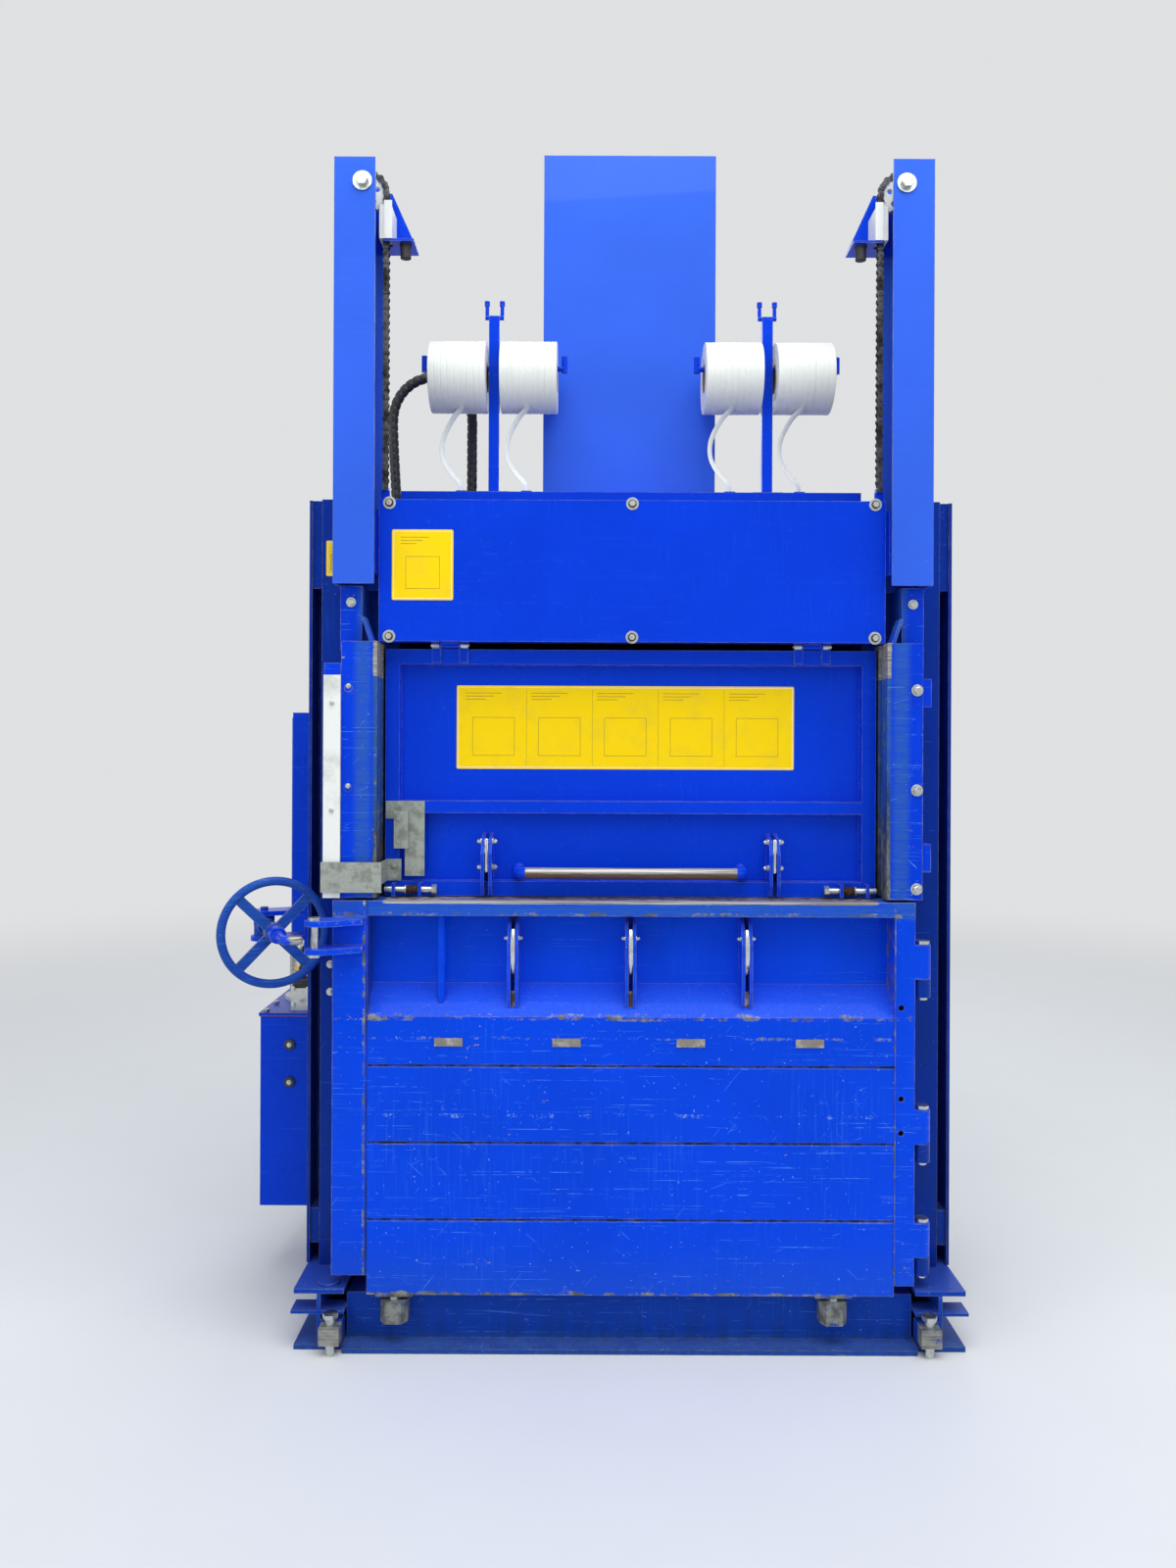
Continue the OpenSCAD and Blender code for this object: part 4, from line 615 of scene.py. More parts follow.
def plain_group():
    """Plastic, rubber or print: soft tone changes, dirt and a fine grain."""
    w, given = group("soft_finish", {"Base": (0.8, 0.8, 0.8, 1), "Dirt": (0.2, 0.18, 0.15, 1),
                                     "Dirty": 0.3, "Rough": 0.5}, "Color", "Roughness", "Height")
    broad, grain = w.noise(14, 4, 0.6), w.noise(420, 3, 0.6)
    base = w.mix(1.0, given["Base"], grain * 0.10 + 0.95, "MULTIPLY")
    return w.close(Color=w.mix(broad.span(0.45, 0.75) * given["Dirty"], base, given["Dirt"]),
                   Roughness=broad * 0.15 + given["Rough"], Height=grain * 0.00008)


# Worn areas and painted shade, by their place on the machine

def door_wear_and_shade(w):
    """The ledge that material is dragged over, the edges of the plank wall and its scuff lines, with painted
    shade in the plank grooves and a painted shadow line beside the left stile.
    """
    x, y, z = w.xyz()
    left, right = DOOR_SEAMS
    ledge = z.span(1.1015, 1.1070) * abs(x).span(0.640, 0.590)
    bare = (ledge | z.band(1.078, 0.013, 0.47) | z.band(0.823, 0.020, 0.46) | z.band(0.771, 0.010, 0.42)
            | z.span(0.160, 0.136, 0.0, 0.52) | x.band(left - 0.009, 0.007, 0.50)
            | x.band(right, 0.006, 0.46))
    scuffed = (z.band(0.579, 0.014, 0.56) | z.band(0.771, 0.010, 0.60) | z.band(0.300, 0.012, 0.45)
               | z.span(0.330, 0.140, 0.0, 0.44) | x.band(left - 0.008, 0.020, 0.50)
               | z.span(1.068, 1.074, 0.0, 0.36) | y.span(-0.480, -0.485, 0.0, 0.50))
    # Painted shade in the recessed plank grooves
    grooves = most(z.within(top - 0.006, top + 0.002) for top in GROOVE_TOPS)
    grooves *= y.span(DOOR_FACE + 0.0008, DOOR_FACE + 0.0020)
    # The dark mask is painted shade: in the grooves, and as a shadow line just right of the left stile
    return {"Bare": w.math("SUBTRACT", bare, grooves, clamp=True),
            "GrimeAndShade": grooves | x.within(left - 0.0045, left + 0.001, 0.8),
            "Scratches": z.span(0.80, 0.83, 0.75, 0.28), "Scuffed": scuffed,
            "Dull": z.span(1.066, 1.074, 0.0, 0.70) | z.span(0.30, 0.13, 0.0, 0.30),
            "Polished": z.span(1.095, 1.105), "Rust": y.span(-0.462, -0.440, 0.0, 0.22)}


def guide_wear_and_shade(w):
    """The faces of the guide columns that the flap slides along, with painted shade on their inner faces."""
    x, _, z = w.xyz()
    x = abs(x)
    inner = x.span(0.648, 0.638)
    pad, low = inner * z.span(1.666, 1.670), inner * z.span(1.60, 1.18)
    # Painted shade darkens the inner faces, more towards the bottom, apart from the worn pad
    return {"Bare": pad | inner * 0.40 | low * 0.62, "Polished": pad * 0.6, "Rust": low * 0.10,
            "Scuffed": x.span(0.700, 0.640, 0.0, 0.42), "Dull": inner | x.band(0.668, 0.030, 0.75),
            "GrimeAndShade": inner * (z.span(1.70, 1.18, 0.20, 0.80) - pad)}


def worn_grip(w):
    """The middle of the push handle, bright where hands hold it and brown underneath."""
    x, _, z = w.xyz()
    return {"Bare": abs(x).span(0.280, 0.255), "Rust": z.span(1.182, 1.170, -0.10, 0.62),
            "Polished": z.span(1.170, 1.184, 0.0, 0.9)}


def worn_rim(w):
    """The upper left of the handwheel."""
    x, _, z = w.xyz()
    return {"Scuffed": z.span(0.98, 1.17, 0.20, 0.50), "Dull": z.span(0.90, 1.17, 0.45, 0.65),
            "Bare": z.span(1.06, 1.15) * x.span(-0.93, -1.00) * 0.52}


def worn_lugs(w):
    """The end of the lock hook, bare where it grips the pin."""
    x = w.xyz()[0]
    return {"Scuffed": x.span(-0.90, -0.82, 0.10, 0.50), "Bare": x.span(-0.850, -0.800, 0.0, 0.80),
            "Polished": x.span(-0.840, -0.800, 0.0, 0.8)}


def worn_base(w):
    """The lower edge of the base, its lifting blocks and its door rests."""
    x, y, z = w.xyz()
    blocks = abs(x).within(0.710, 0.762) * y.span(-0.484, -0.490)
    rests = x.within(-0.622, -0.548) | x.within(0.469, 0.543)
    rests *= y.span(-0.441, -0.444) * z.span(0.060, 0.062)
    both = blocks | rests
    return {"Bare": both * 0.62 | z.span(0.020, 0.004, 0.0, 0.36), "Scuffed": z.span(0.16, 0.0, 0.15, 0.40),
            "Dull": z.span(0.05, 0.0, 0.1, 0.6), "Polished": blocks * 0.35,
            "GrimeAndShade": w.math("SUBTRACT", z.span(0.120, 0.020, 0.04, 0.34), both, clamp=True)}


def dirty_box(w):
    """Oil and dust on the lid of the tank."""
    return {"GrimeAndShade": w.xyz()[2].span(0.738, 0.746, 0.0, 0.45)}


def walls_darker_low(w):
    """Walls and beams that are duller towards the ground."""
    return {"GrimeAndShade": w.xyz()[2].span(1.9, 0.1, 0.18, 0.42)}


def principled(name):
    """A new material, the wires of its tree and its Principled BSDF."""
    material = bpy.data.materials.new(name)
    material.use_nodes = True
    return material, Wires(material.node_tree), material.node_tree.nodes["Principled BSDF"]


def shader(name, tree, values, bump=1.0, masks=None, **sockets):
    """A material that puts one of the groups into a Principled BSDF; masks(w) feeds its worn areas and its
    painted shade.
    """
    material, w, surface = principled(name)
    inputs = {key: (*value, 1) if hasattr(value, "__len__") else value for key, value in values.items()}
    if masks:
        inputs.update(masks(w))
    made = w.use(tree, inputs)
    w.bump(surface, made.pop("Height"), bump)
    for label, value in made.items():
        w.feed(surface.inputs["Base Color" if label == "Color" else label], value)
    for key, value in sockets.items():
        surface.inputs[key.replace("_", " ")].default_value = value
    FINISHES[name] = material


def make_finishes():
    c = colours()
    paint = paint_group(edge_wear_group(), scratch_group())
    metal, plain = metal_group(), plain_group()

    # The dust value also sets the painted skylight on up-facing faces
    def painted(name, tint, wear, scratches, dust, shine, masks=None, coating=0.06):
        values = {"Paint": tint, "Wear": wear, "Scratches": scratches, "DustAndSkylight": dust, "Shine": shine}
        shader(name, paint, values, 0.6, masks, Coat_Weight=coating, Specular_IOR_Level=0.32,
               Specular_Tint=(0.10, 0.45, 1.0, 1))

    def metallic(name, bright, stain, stains, rough, bump=1.0, metal_value=1.0):
        shader(name, metal, {"Bright": bright, "Stain": stain, "Stains": stains, "Rough": rough},
               bump, Metallic=metal_value)

    def matt(name, base, dirt, dirty, rough, bump=1.0, **sockets):
        shader(name, plain, {"Base": base, "Dirt": dirt, "Dirty": dirty, "Rough": rough}, bump, **sockets)

    painted("frame_blue", c.paint, 0.52, 0.22, 0.16, 0.20)
    painted("lid_blue", c.paint, 0.52, 0.22, 0.30, 0.24, dirty_box)
    # Walls behind the door in a darker blue: partly dirt, partly painted shade
    painted("side_blue", c.side_paint_and_shade, 0.50, 0.30, 0.25, 0.28, walls_darker_low)
    painted("panel_blue", c.paint, 0.15, 0.12, 0.25, 0.16)
    painted("cover_blue", c.cover_paint, 0.10, 0.06, 0.2, 0.22, coating=0.15)
    painted("post_blue", c.cover_paint, 0.36, 0.14, 0.2, 0.22)
    painted("door_blue", c.door_paint, 0.80, 0.80, 0.30, 0.22, door_wear_and_shade)
    painted("column_blue", c.paint, 0.95, 0.75, 0.35, 0.26, guide_wear_and_shade)
    painted("handle_blue", c.paint, 0.3, 0.3, 0.2, 0.24, worn_grip)
    painted("lug_blue", c.paint, 1.15, 0.8, 0.2, 0.24, worn_lugs)
    painted("base_blue", c.base_paint, 0.80, 0.55, 0.22, 0.34, worn_base)
    painted("wheel_blue", c.side_paint_and_shade, 0.75, 0.60, 0.1, 0.24, worn_rim)
    metallic("zinc_plated", c.zinc, (0.34, 0.32, 0.26), 0.30, 0.22)
    metallic("zinc_sheet", (0.37, 0.40, 0.36), (0.27, 0.29, 0.25), 0.45, 0.36, metal_value=0.6)
    metallic("clamp_zinc", (0.50, 0.49, 0.46), (0.30, 0.28, 0.24), 0.7, 0.30, metal_value=0.7)
    metallic("bare_steel", (0.34, 0.32, 0.30), (0.17, 0.12, 0.09), 0.42, 0.36)
    metallic("ring_steel", (0.66, 0.67, 0.68), (0.25, 0.2, 0.15), 0.2, 0.14)
    metallic("chain_steel", (0.10, 0.105, 0.11), (0.045, 0.038, 0.034), 0.5, 0.34, metal_value=0.8)
    metallic("rusty_steel", (0.16, 0.085, 0.05), (0.06, 0.03, 0.02), 0.8, 0.55, metal_value=0.35)
    metallic("rod_chrome", (0.74, 0.75, 0.76), (0.5, 0.5, 0.48), 0.1, 0.05, 0.3)
    metallic("brass", (0.72, 0.48, 0.17), (0.28, 0.16, 0.06), 0.4, 0.25)
    metallic("cast_aluminium", (0.60, 0.61, 0.59), (0.40, 0.39, 0.36), 0.25, 0.42, 2.5, 0.8)
    metallic("worn_ring", (0.42, 0.39, 0.35), (0.16, 0.10, 0.06), 0.6, 0.30)
    matt("white_plastic", (0.80, 0.80, 0.74), (0.45, 0.42, 0.34), 0.45, 0.42)
    matt("strip_white", (0.78, 0.79, 0.74), (0.36, 0.36, 0.33), 0.55, 0.38)
    matt("black_rubber", (0.018, 0.018, 0.019), (0.08, 0.075, 0.07), 0.6, 0.55)
    matt("hose_black", (0.014, 0.014, 0.016), (0.06, 0.06, 0.06), 0.4, 0.40)
    matt("gasket_red", (0.30, 0.035, 0.05), (0.12, 0.05, 0.06), 0.5, 0.6)
    matt("core_card", (0.34, 0.22, 0.12), (0.20, 0.12, 0.06), 0.5, 0.85)
    matt("sticker_yellow", c.sticker, (0.55, 0.42, 0.05), 0.25, 0.40, 0.5, Specular_IOR_Level=0.15)
    matt("sticker_line", (0.30, 0.20, 0.012), (0.35, 0.28, 0.03), 0.4, 0.35, 0.5)
    matt("sticker_border", (0.86, 0.85, 0.74), (0.6, 0.55, 0.3), 0.4, 0.35, 0.5)

    # Woven polyester: fine threads along the strap, with a satin shine
    FINISHES["strap_weave"], w, surface = principled("strap_weave")
    threads, cross = w.noise(1, 2, 0.55, (900, 60, 60)), w.noise(1, 2, 0.55, (60, 500, 500))
    dull = w.noise(16, 3)
    tone = threads * 0.22 + (dull * 0.14 + 0.80)
    w.feed(surface.inputs["Base Color"], w.mix(1.0, (*c.strap, 1), tone, "MULTIPLY"))
    w.feed(surface.inputs["Roughness"], dull * 0.2 + 0.32)
    w.bump(surface, (threads + cross) * 0.00018)
    surface.inputs["Sheen Weight"].default_value = 0.3


# The pieces

class BALER_OT_stage(bpy.types.Operator):
    """Camera at the photograph's place, pale floor and soft studio light"""
    bl_idname = "baler.stage"
    bl_label = "Stage"

    def execute(self, context):
        scene = context.scene
        data = adjust(bpy.data.cameras.new("photo_camera"), sensor_fit="VERTICAL", sensor_height=36,
                      lens=sizes().camera_lens, shift_y=CAMERA_SHIFT, clip_end=60)
        scene.camera = adjust(linked("photo_camera", data), location=CAMERA_PLACE,
                              rotation_euler=(math.radians(90), CAMERA_ROLL, 0))
        scene.view_settings.view_transform = "Standard"

        deselect()
        bpy.ops.mesh.primitive_plane_add(size=30, location=(0, 0, -0.0005))
        floor = settle(named("studio_floor"))
        material, w, surface = principled("studio_floor")
        tone = w.noise(3, 3) * 0.04 + 0.98
        w.feed(surface.inputs["Base Color"], w.mix(1.0, (*colours().floor, 1), tone, "MULTIPLY"))
        surface.inputs["Roughness"].default_value = 0.8
        # Far from the machine the floor shows the backdrop's own tone, so that no horizon line stands out
        away = w.get("Value", "VectorMath", {0: w.place()}, operation="LENGTH")
        far = away.span(2.2, 9.0) * w.get("Is Camera Ray", "LightPath")
        shown = w.get(0, "MixShader", {0: far, 1: Value(w, surface.outputs[0]),
                                       2: w.get(0, "Emission", {"Color": BACKDROP})})
        w.feed(w.tree.nodes["Material Output"].inputs["Surface"], shown)
        floor.data.materials.append(material)

        scene.world = bpy.data.worlds.new("studio_world")
        scene.world.use_nodes = True
        w = Wires(scene.world.node_tree)
        light = w.tree.nodes["Background"]
        light.inputs["Color"].default_value = (0.80, 0.86, 0.95, 1)
        light.inputs["Strength"].default_value = 0.66
        seen = most(w.get(f"Is {kind} Ray", "LightPath") for kind in ("Camera", "Transmission", "Glossy"))
        shown = w.get(0, "MixShader", {0: seen, 1: Value(w, light.outputs[0]),
                                       2: w.get(0, "Background", {"Color": BACKDROP})})
        w.feed(w.tree.nodes["World Output"].inputs["Surface"], shown)

        for name, place, aim, (wide, high), power, tint in (
                ("sky_light", (0.3, -2.5, 5.7), (0, -0.3, 1.3), (4.5, 3.6), 210, (0.93, 0.97, 1.0)),
                ("left_light", (-4.4, -3.6, 2.4), (0, -0.2, 1.3), (2.4, 3.0), 60, (1.0, 0.98, 0.95)),
                ("right_light", (4.6, -2.8, 2.8), (0, 0, 1.4), (2.4, 3.0), 50, (1.0, 0.98, 0.95)),
                ("back_light", (0.5, 4.6, 4.2), (0, 0, 1.5), (4.0, 3.0), 80, (0.95, 0.97, 1.0))):
            lamp = adjust(bpy.data.lights.new(name, "AREA"), shape="RECTANGLE", size=wide, size_y=high,
                          energy=power, color=tint)
            turn = (Vector(aim) - Vector(place)).to_track_quat("-Z", "Y").to_euler()
            adjust(linked(name, lamp), location=place, rotation_euler=turn)
        make_finishes()
        return {"FINISHED"}


NODE_FINISHES = {
    "frame_blue": "head_beams cylinder_barrel lock_bracket oil_tank control_cabinet left_bumper_bracket "
                  "right_bumper_bracket left_strap_stand right_strap_stand",
    "lid_blue": "tank_lid",
    "side_blue": "left_side_wall right_side_wall rear_wall",
    "panel_blue": "header_panel loading_flap",
    "cover_blue": "cylinder_cover",
    "post_blue": "left_upper_post right_upper_post",
    "door_blue": "bale_door",
    "column_blue": "left_guide_column right_guide_column",
    "base_blue": "base_frame lock_trunnion",
    "wheel_blue": "lock_handwheel",
    "bare_steel": "chamber_floor press_plate left_counterweight right_counterweight lock_spindle",
    "handle_blue": "flap_handle",
    "lug_blue": "lock_hook",
    "zinc_plated": "pulley_axles lock_pin bale_hinge_pins header_bolts left_spring_bolt right_spring_bolt "
                   "pressure_pipe adjusting_screws",
    "zinc_sheet": "slide_plate latch_plate",
    "clamp_zinc": "strap_clamps",
    "chain_steel": "left_lift_chain right_lift_chain",
    "rod_chrome": "piston_rod",
    "cast_aluminium": "pump_block",
    "white_plastic": "chain_guides left_pulley right_pulley",
    "strip_white": "glide_strip",
    "black_rubber": "rubber_bumpers hydraulic_hose",
    "strap_weave": "strap_roll_1 strap_roll_2 strap_roll_3 strap_roll_4 "
                   "strap_end_1 strap_end_2 strap_end_3 strap_end_4",
}


class BALER_OT_paint(bpy.types.Operator):
    """Gives every CAD node its finish"""
    bl_idname = "baler.paint"
    bl_label = "Paint"

    def execute(self, context):
        left = set(NODES)
        for finish, nodes in NODE_FINISHES.items():
            for node in nodes.split():
                mesh = NODES[node].data
                mesh.materials.clear()
                mesh.materials.append(FINISHES[finish])
                left.discard(node)
        if left:
            raise RuntimeError(f"no finish for {sorted(left)}")
        return {"FINISHED"}


class BALER_OT_straps(bpy.types.Operator):
    """The four strap ends that hang from the rolls into the eyes of the head beam"""
    bl_idname = "baler.straps"
    bl_label = "Strap ends"

    def execute(self, context):
        half, thick = sizes().strap_width / 2, sizes().strap_thickness / 2
        outline = [(half, thick * 0.5), (half * 0.93, thick), (-half * 0.93, thick), (-half, thick * 0.5),
                   (-half, -thick * 0.5), (-half * 0.93, -thick), (half * 0.93, -thick), (half, -thick * 0.5)]
        for i, x in enumerate(STRAP_XS):
            points = flow([Vector(p) + Vector((x, 0, 0)) for p in STRAP_POINTS], 0.009)
            strap = smooth(sleeve(f"strap_hanging_{i + 1}", points, lambda k: outline, (1, 0, 0)), 40)
            dress(strap, "frame", "strap_weave", "strap_white", f"strap_end_{i + 1}")
            path_length(points)
        return {"FINISHED"}


class BALER_OT_hose(bpy.types.Operator):
    """The wrapped hydraulic hose with a crimped fitting at each end"""
    bl_idname = "baler.hose"
    bl_label = "Hydraulic hose"

    def execute(self, context):
        radius = sizes().hose_diameter / 2
        points = flow(hose_route(), 0.0042)
        sides, pitch, dip = 16, 0.021, 0.0022
        step = path_length(points) / (len(points) - 1)

        def section(i):
            ring = []
            for k in range(sides):
                turn = 2 * math.pi * k / sides
                phase = (i * step / pitch - k / sides) % 1.0
                r = radius - (dip if phase < 0.2 else 0.0)
                ring.append((r * math.cos(turn), r * math.sin(turn)))
            return ring

        hose = smooth(sleeve("pressure_hose", points, section, (0, 1, 0)), 50)
        dress(hose, "frame", "hose_black", "black_rubber", "hydraulic_hose")
        for name, start, ahead in (("hose_fitting_left", points[0], points[3]),
                                   ("hose_fitting_right", points[-1], points[-4])):
            fitting = lathe(name, [(0, 0), (0, 0.0135), (0.003, 0.0155), (0.014, 0.0155), (0.016, 0.0150),
                                   (0.018, 0.0162), (0.040, 0.0162), (0.043, 0.0145), (0.043, 0.0)],
                            start, (ahead - start).normalized(), 24)
            dress(smooth(fitting), "frame", "zinc_plated", "zinc")
        path_length(points)
        return {"FINISHED"}


class BALER_OT_rolls(bpy.types.Operator):
    """Four wound strap rolls on cardboard cores"""
    bl_idname = "baler.rolls"
    bl_label = "Strap rolls"

    def execute(self, context):
        draw = random.Random(7)
        outer, core, bore, half = 0.0925, 0.0365, 0.0322, 0.0748
        # Wound end face, one small step for each few layers
        layers, uneven, lanes = 15, 0.0022, 9
        rings = [core + (outer - 0.003 - core) * k / layers for k in range(1, layers)]
        for i, x in enumerate(ROLL_XS):
            profile = [(-half + 0.004, core)]
            profile += [(-half + draw.uniform(0.0, uneven), radius) for radius in rings]
            profile.append((-half + 0.0004, outer - 0.0016))
            for lane in range(lanes):
                a = -half + 2 * half * lane / lanes
                b = -half + 2 * half * (lane + 1) / lanes
                lift = draw.uniform(-0.0007, 0.0)
                profile += [(a + 0.0007, outer - 0.0013), (a + 0.0018, outer + lift),
                            (b - 0.0018, outer + lift), (b - 0.0007, outer - 0.0013)]
            profile.append((half - 0.0004, outer - 0.0016))
            profile += [(half - draw.uniform(0.0, uneven), radius) for radius in reversed(rings)]
            profile += [(half - 0.004, core), (-half + 0.004, core)]
            card = [(-half, bore), (-half, core - 0.0004), (half, core - 0.0004), (half, bore), (-half, bore)]
            place, body = (x, ROLL_Y, ROLL_Z), f"roll_{i + 1}"
            winding = smooth(lathe(f"strap_winding_{i + 1}", profile, place, (1, 0, 0), 72), 30)
            dress(winding, body, "strap_weave", "strap_white", f"strap_roll_{i + 1}")
            tube = smooth(lathe(f"strap_core_{i + 1}", card, place, (1, 0, 0)), 30)
            dress(tube, body, "core_card", "strap_white")
        return {"FINISHED"}


def chain_link(wide):
    """One chain link in the X-Z plane: two waisted plates, their rollers or their pins."""
    outer, plate = 0.0093 if wide else 0.0073, 0.0018
    ends = (-CHAIN_PITCH / 2, CHAIN_PITCH / 2)
    parts = []
    for y in (-outer, outer):
        deselect()
        bpy.ops.mesh.primitive_cylinder_add(vertices=12, radius=0.0083, depth=plate)
        disc = named("link_end")
        disc.data.transform(Matrix.Rotation(math.pi / 2, 4, "X"))
        edit(disc, lambda c, n: abs(n.y) > 0.9, inset(0.0015))
        parts += [copied(disc, "link_eye", Matrix.Translation((0, y, z))) for z in ends]
        drop(disc)
        parts.append(slab("link_waist", (-0.0055, y - plate / 2 * 0.96, ends[0]),
                          (0.0055, y + plate / 2 * 0.96, ends[1])))
    reach, radius, sides = (0.0118, 0.003, 10) if wide else (0.0062, 0.006, 12)
    parts += [bar("link_pin", (0, -reach, z), (0, reach, z), radius, sides) for z in ends]
    return joined("link_model", parts)


class BALER_OT_chains(bpy.types.Operator):
    """Lift chains: the run to the door, the wrap over the pulley and the run to the counterweight"""
    bl_idname = "baler.chains"
    bl_label = "Lift chains"

    def execute(self, context):
        models = [chain_link(wide) for wide in (True, False)]
        wrap = round(math.pi / (2 * math.asin(CHAIN_PITCH / 2 / PULLEY_R)))
        run, far = int((PULLEY_Z - LUG_TOP) / CHAIN_PITCH), 5
        near_x, far_x = PULLEY_X - PULLEY_R, PULLEY_X + PULLEY_R
        for side, label in ((1, "right"), (-1, "left")):
            def link(index, centre, turn):
                matrix = Matrix.Translation(centre) @ Matrix.Rotation(turn, 4, "Y")
                flip = Matrix.Scale(-1, 4, (1, 0, 0)) if side < 0 else Matrix.Identity(4)
                return copied(models[index % 2], "link", flip @ matrix)

            def hanging(first, x, count):
                return [link(first + i, (x, PULLEY_Y, PULLEY_Z - (i + 0.5) * CHAIN_PITCH), 0)
                        for i in range(count)]

            piece = fitted(f"{label}_chain_run", hanging(0, near_x, run), "frame",
                           "chain_steel", "chain_steel", f"{label}_lift_chain", angle=35)
            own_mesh(piece)
            over = []
            for i in range(wrap):
                turn = math.pi - (i + 0.5) * math.pi / wrap
                reach = PULLEY_R * math.cos(math.pi / wrap / 2)
                over.append(link(i + 1, (PULLEY_X + reach * math.cos(turn), PULLEY_Y,
                                         PULLEY_Z + reach * math.sin(turn)), math.pi - turn))
            fitted(f"{label}_chain_wrap", over, "frame", "chain_steel", "chain_steel", angle=35)
            piece = smooth(joined(f"{label}_chain_tail", hanging(wrap + 1, far_x, far)), 35)
            coat(piece, "chain_steel")
            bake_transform(piece)
        for model in models:
            drop(model)
        return {"FINISHED"}


def sticker(name, body, face, low, high, panels):
    """A blank yellow plate with a pale rim and, between thin lines, one plain outlined box a panel."""
    front, proud = face - sizes().sticker_thickness, 0.0002
    (x0, z0), (x1, z1) = low, high
    plate = slab(name, (x0, front, z0), (x1, face - 0.00005, z1))
    edit(plate, lambda c, d: abs(d.y) > 0.9, lambda: bpy.ops.mesh.bevel(
        offset=0.004, segments=3, affect="EDGES"), kind="EDGE")
    dress(plate, body, "sticker_yellow", "white_plastic")

    def line(label, x, z, x_end, z_end):
        return slab(label, (x, front - proud, z), (x_end, front, z_end))

    def outlined(box, width):
        edit(box, lambda c, n: n.y < -0.9, inset(width), lambda: bpy.ops.mesh.delete(type="FACE"))
        return edit(box, lambda c, n: n.y > 0.9, lambda: bpy.ops.mesh.delete(type="FACE"))

    rim = outlined(line(name + "_rim", x0 + 0.004, z0 + 0.004, x1 - 0.004, z1 - 0.004), 0.0012)
    dress(edit(rim, lambda c, n: True, heal), body, "sticker_border", "white_plastic")
    width = (x1 - x0 - 0.02) / panels
    lines = []
    for k in range(panels):
        a, inside = x0 + 0.010 + k * width, 0.18 * width
        lines.append(outlined(line("box", a + inside, z0 + 0.16 * (z1 - z0),
                                   a + width - inside, z0 + 0.62 * (z1 - z0)), 0.0011))
        for row in range(3):
            z = z1 - 0.020 - row * 0.008
            lines.append(line("rule", a + 0.012, z, a + width * (0.62 - 0.12 * row), z + 0.0014))
        if k:
            lines.append(line("divider", a - 0.0004, z0 + 0.010, a + 0.0004, z1 - 0.010))
    fitted(name + "_lines", lines, body, "sticker_line", "white_plastic")


class BALER_OT_stickers(bpy.types.Operator):
    """Blank yellow plates on the header, the flap and the left column"""
    bl_idname = "baler.stickers"
    bl_label = "Stickers"

    def execute(self, context):
        sticker("header_sticker", "loading_door", HEADER_FACE, (-0.603, 1.861), (-0.449, 2.038), 1)
        sticker("flap_sticker", "flap", FLAP_SHEET, (-0.448, 1.437), (0.422, 1.652), 5)
        sticker("column_sticker", "frame", COLUMN_FACE, (-0.789, 1.934), (-0.763, 2.026), 1)
        return {"FINISHED"}


def bolts(name, places, size):
    """A bolt head on its washer, facing -Y, modelled once and copied to each place on the frame."""
    ring = soften(bar("washer", (0, 0, 0), (0, -0.0022, 0), size * 1.55), 0.0005, 1)
    head = bar("head", (0, -0.002, 0), (0, -0.002 - size * 0.85, 0), size, 6)
    edit(head, lambda c, n: n.y < -0.9, inset(size * 0.16, size * 0.10))
    model = joined("bolt_model", [ring, head])
    heads = [copied(model, "bolt", Matrix.Translation(place) @ Matrix.Rotation(0.7 * i, 4, "Y"))
             for i, place in enumerate(places)]
    drop(model)
    fitted(name, heads, "frame", "zinc_plated", "zinc", angle=30)


def acorn_nuts(x, y, z, size):
    """Domed nuts on washers, at both ends of a cross bolt through a strap guide."""
    profile = [(size * along, size * radius) for along, radius in (
        (1.05, 0.86), (1.45, 0.78), (1.75, 0.50), (1.88, 0.22), (1.9, 0.0))]
    nuts = []
    for side in (-1, 1):
        start, way = Vector((x + side * 0.0136, y, z)), Vector((side, 0, 0))
        nuts.append(joined("acorn", [bar("washer", start, start + way * 0.0018, size * 1.35, 20),
                                     bar("body", start + way * 0.0016, start + way * size * 1.1, size, 6),
                                     lathe("dome", profile, start, way, 16)]))
    return nuts


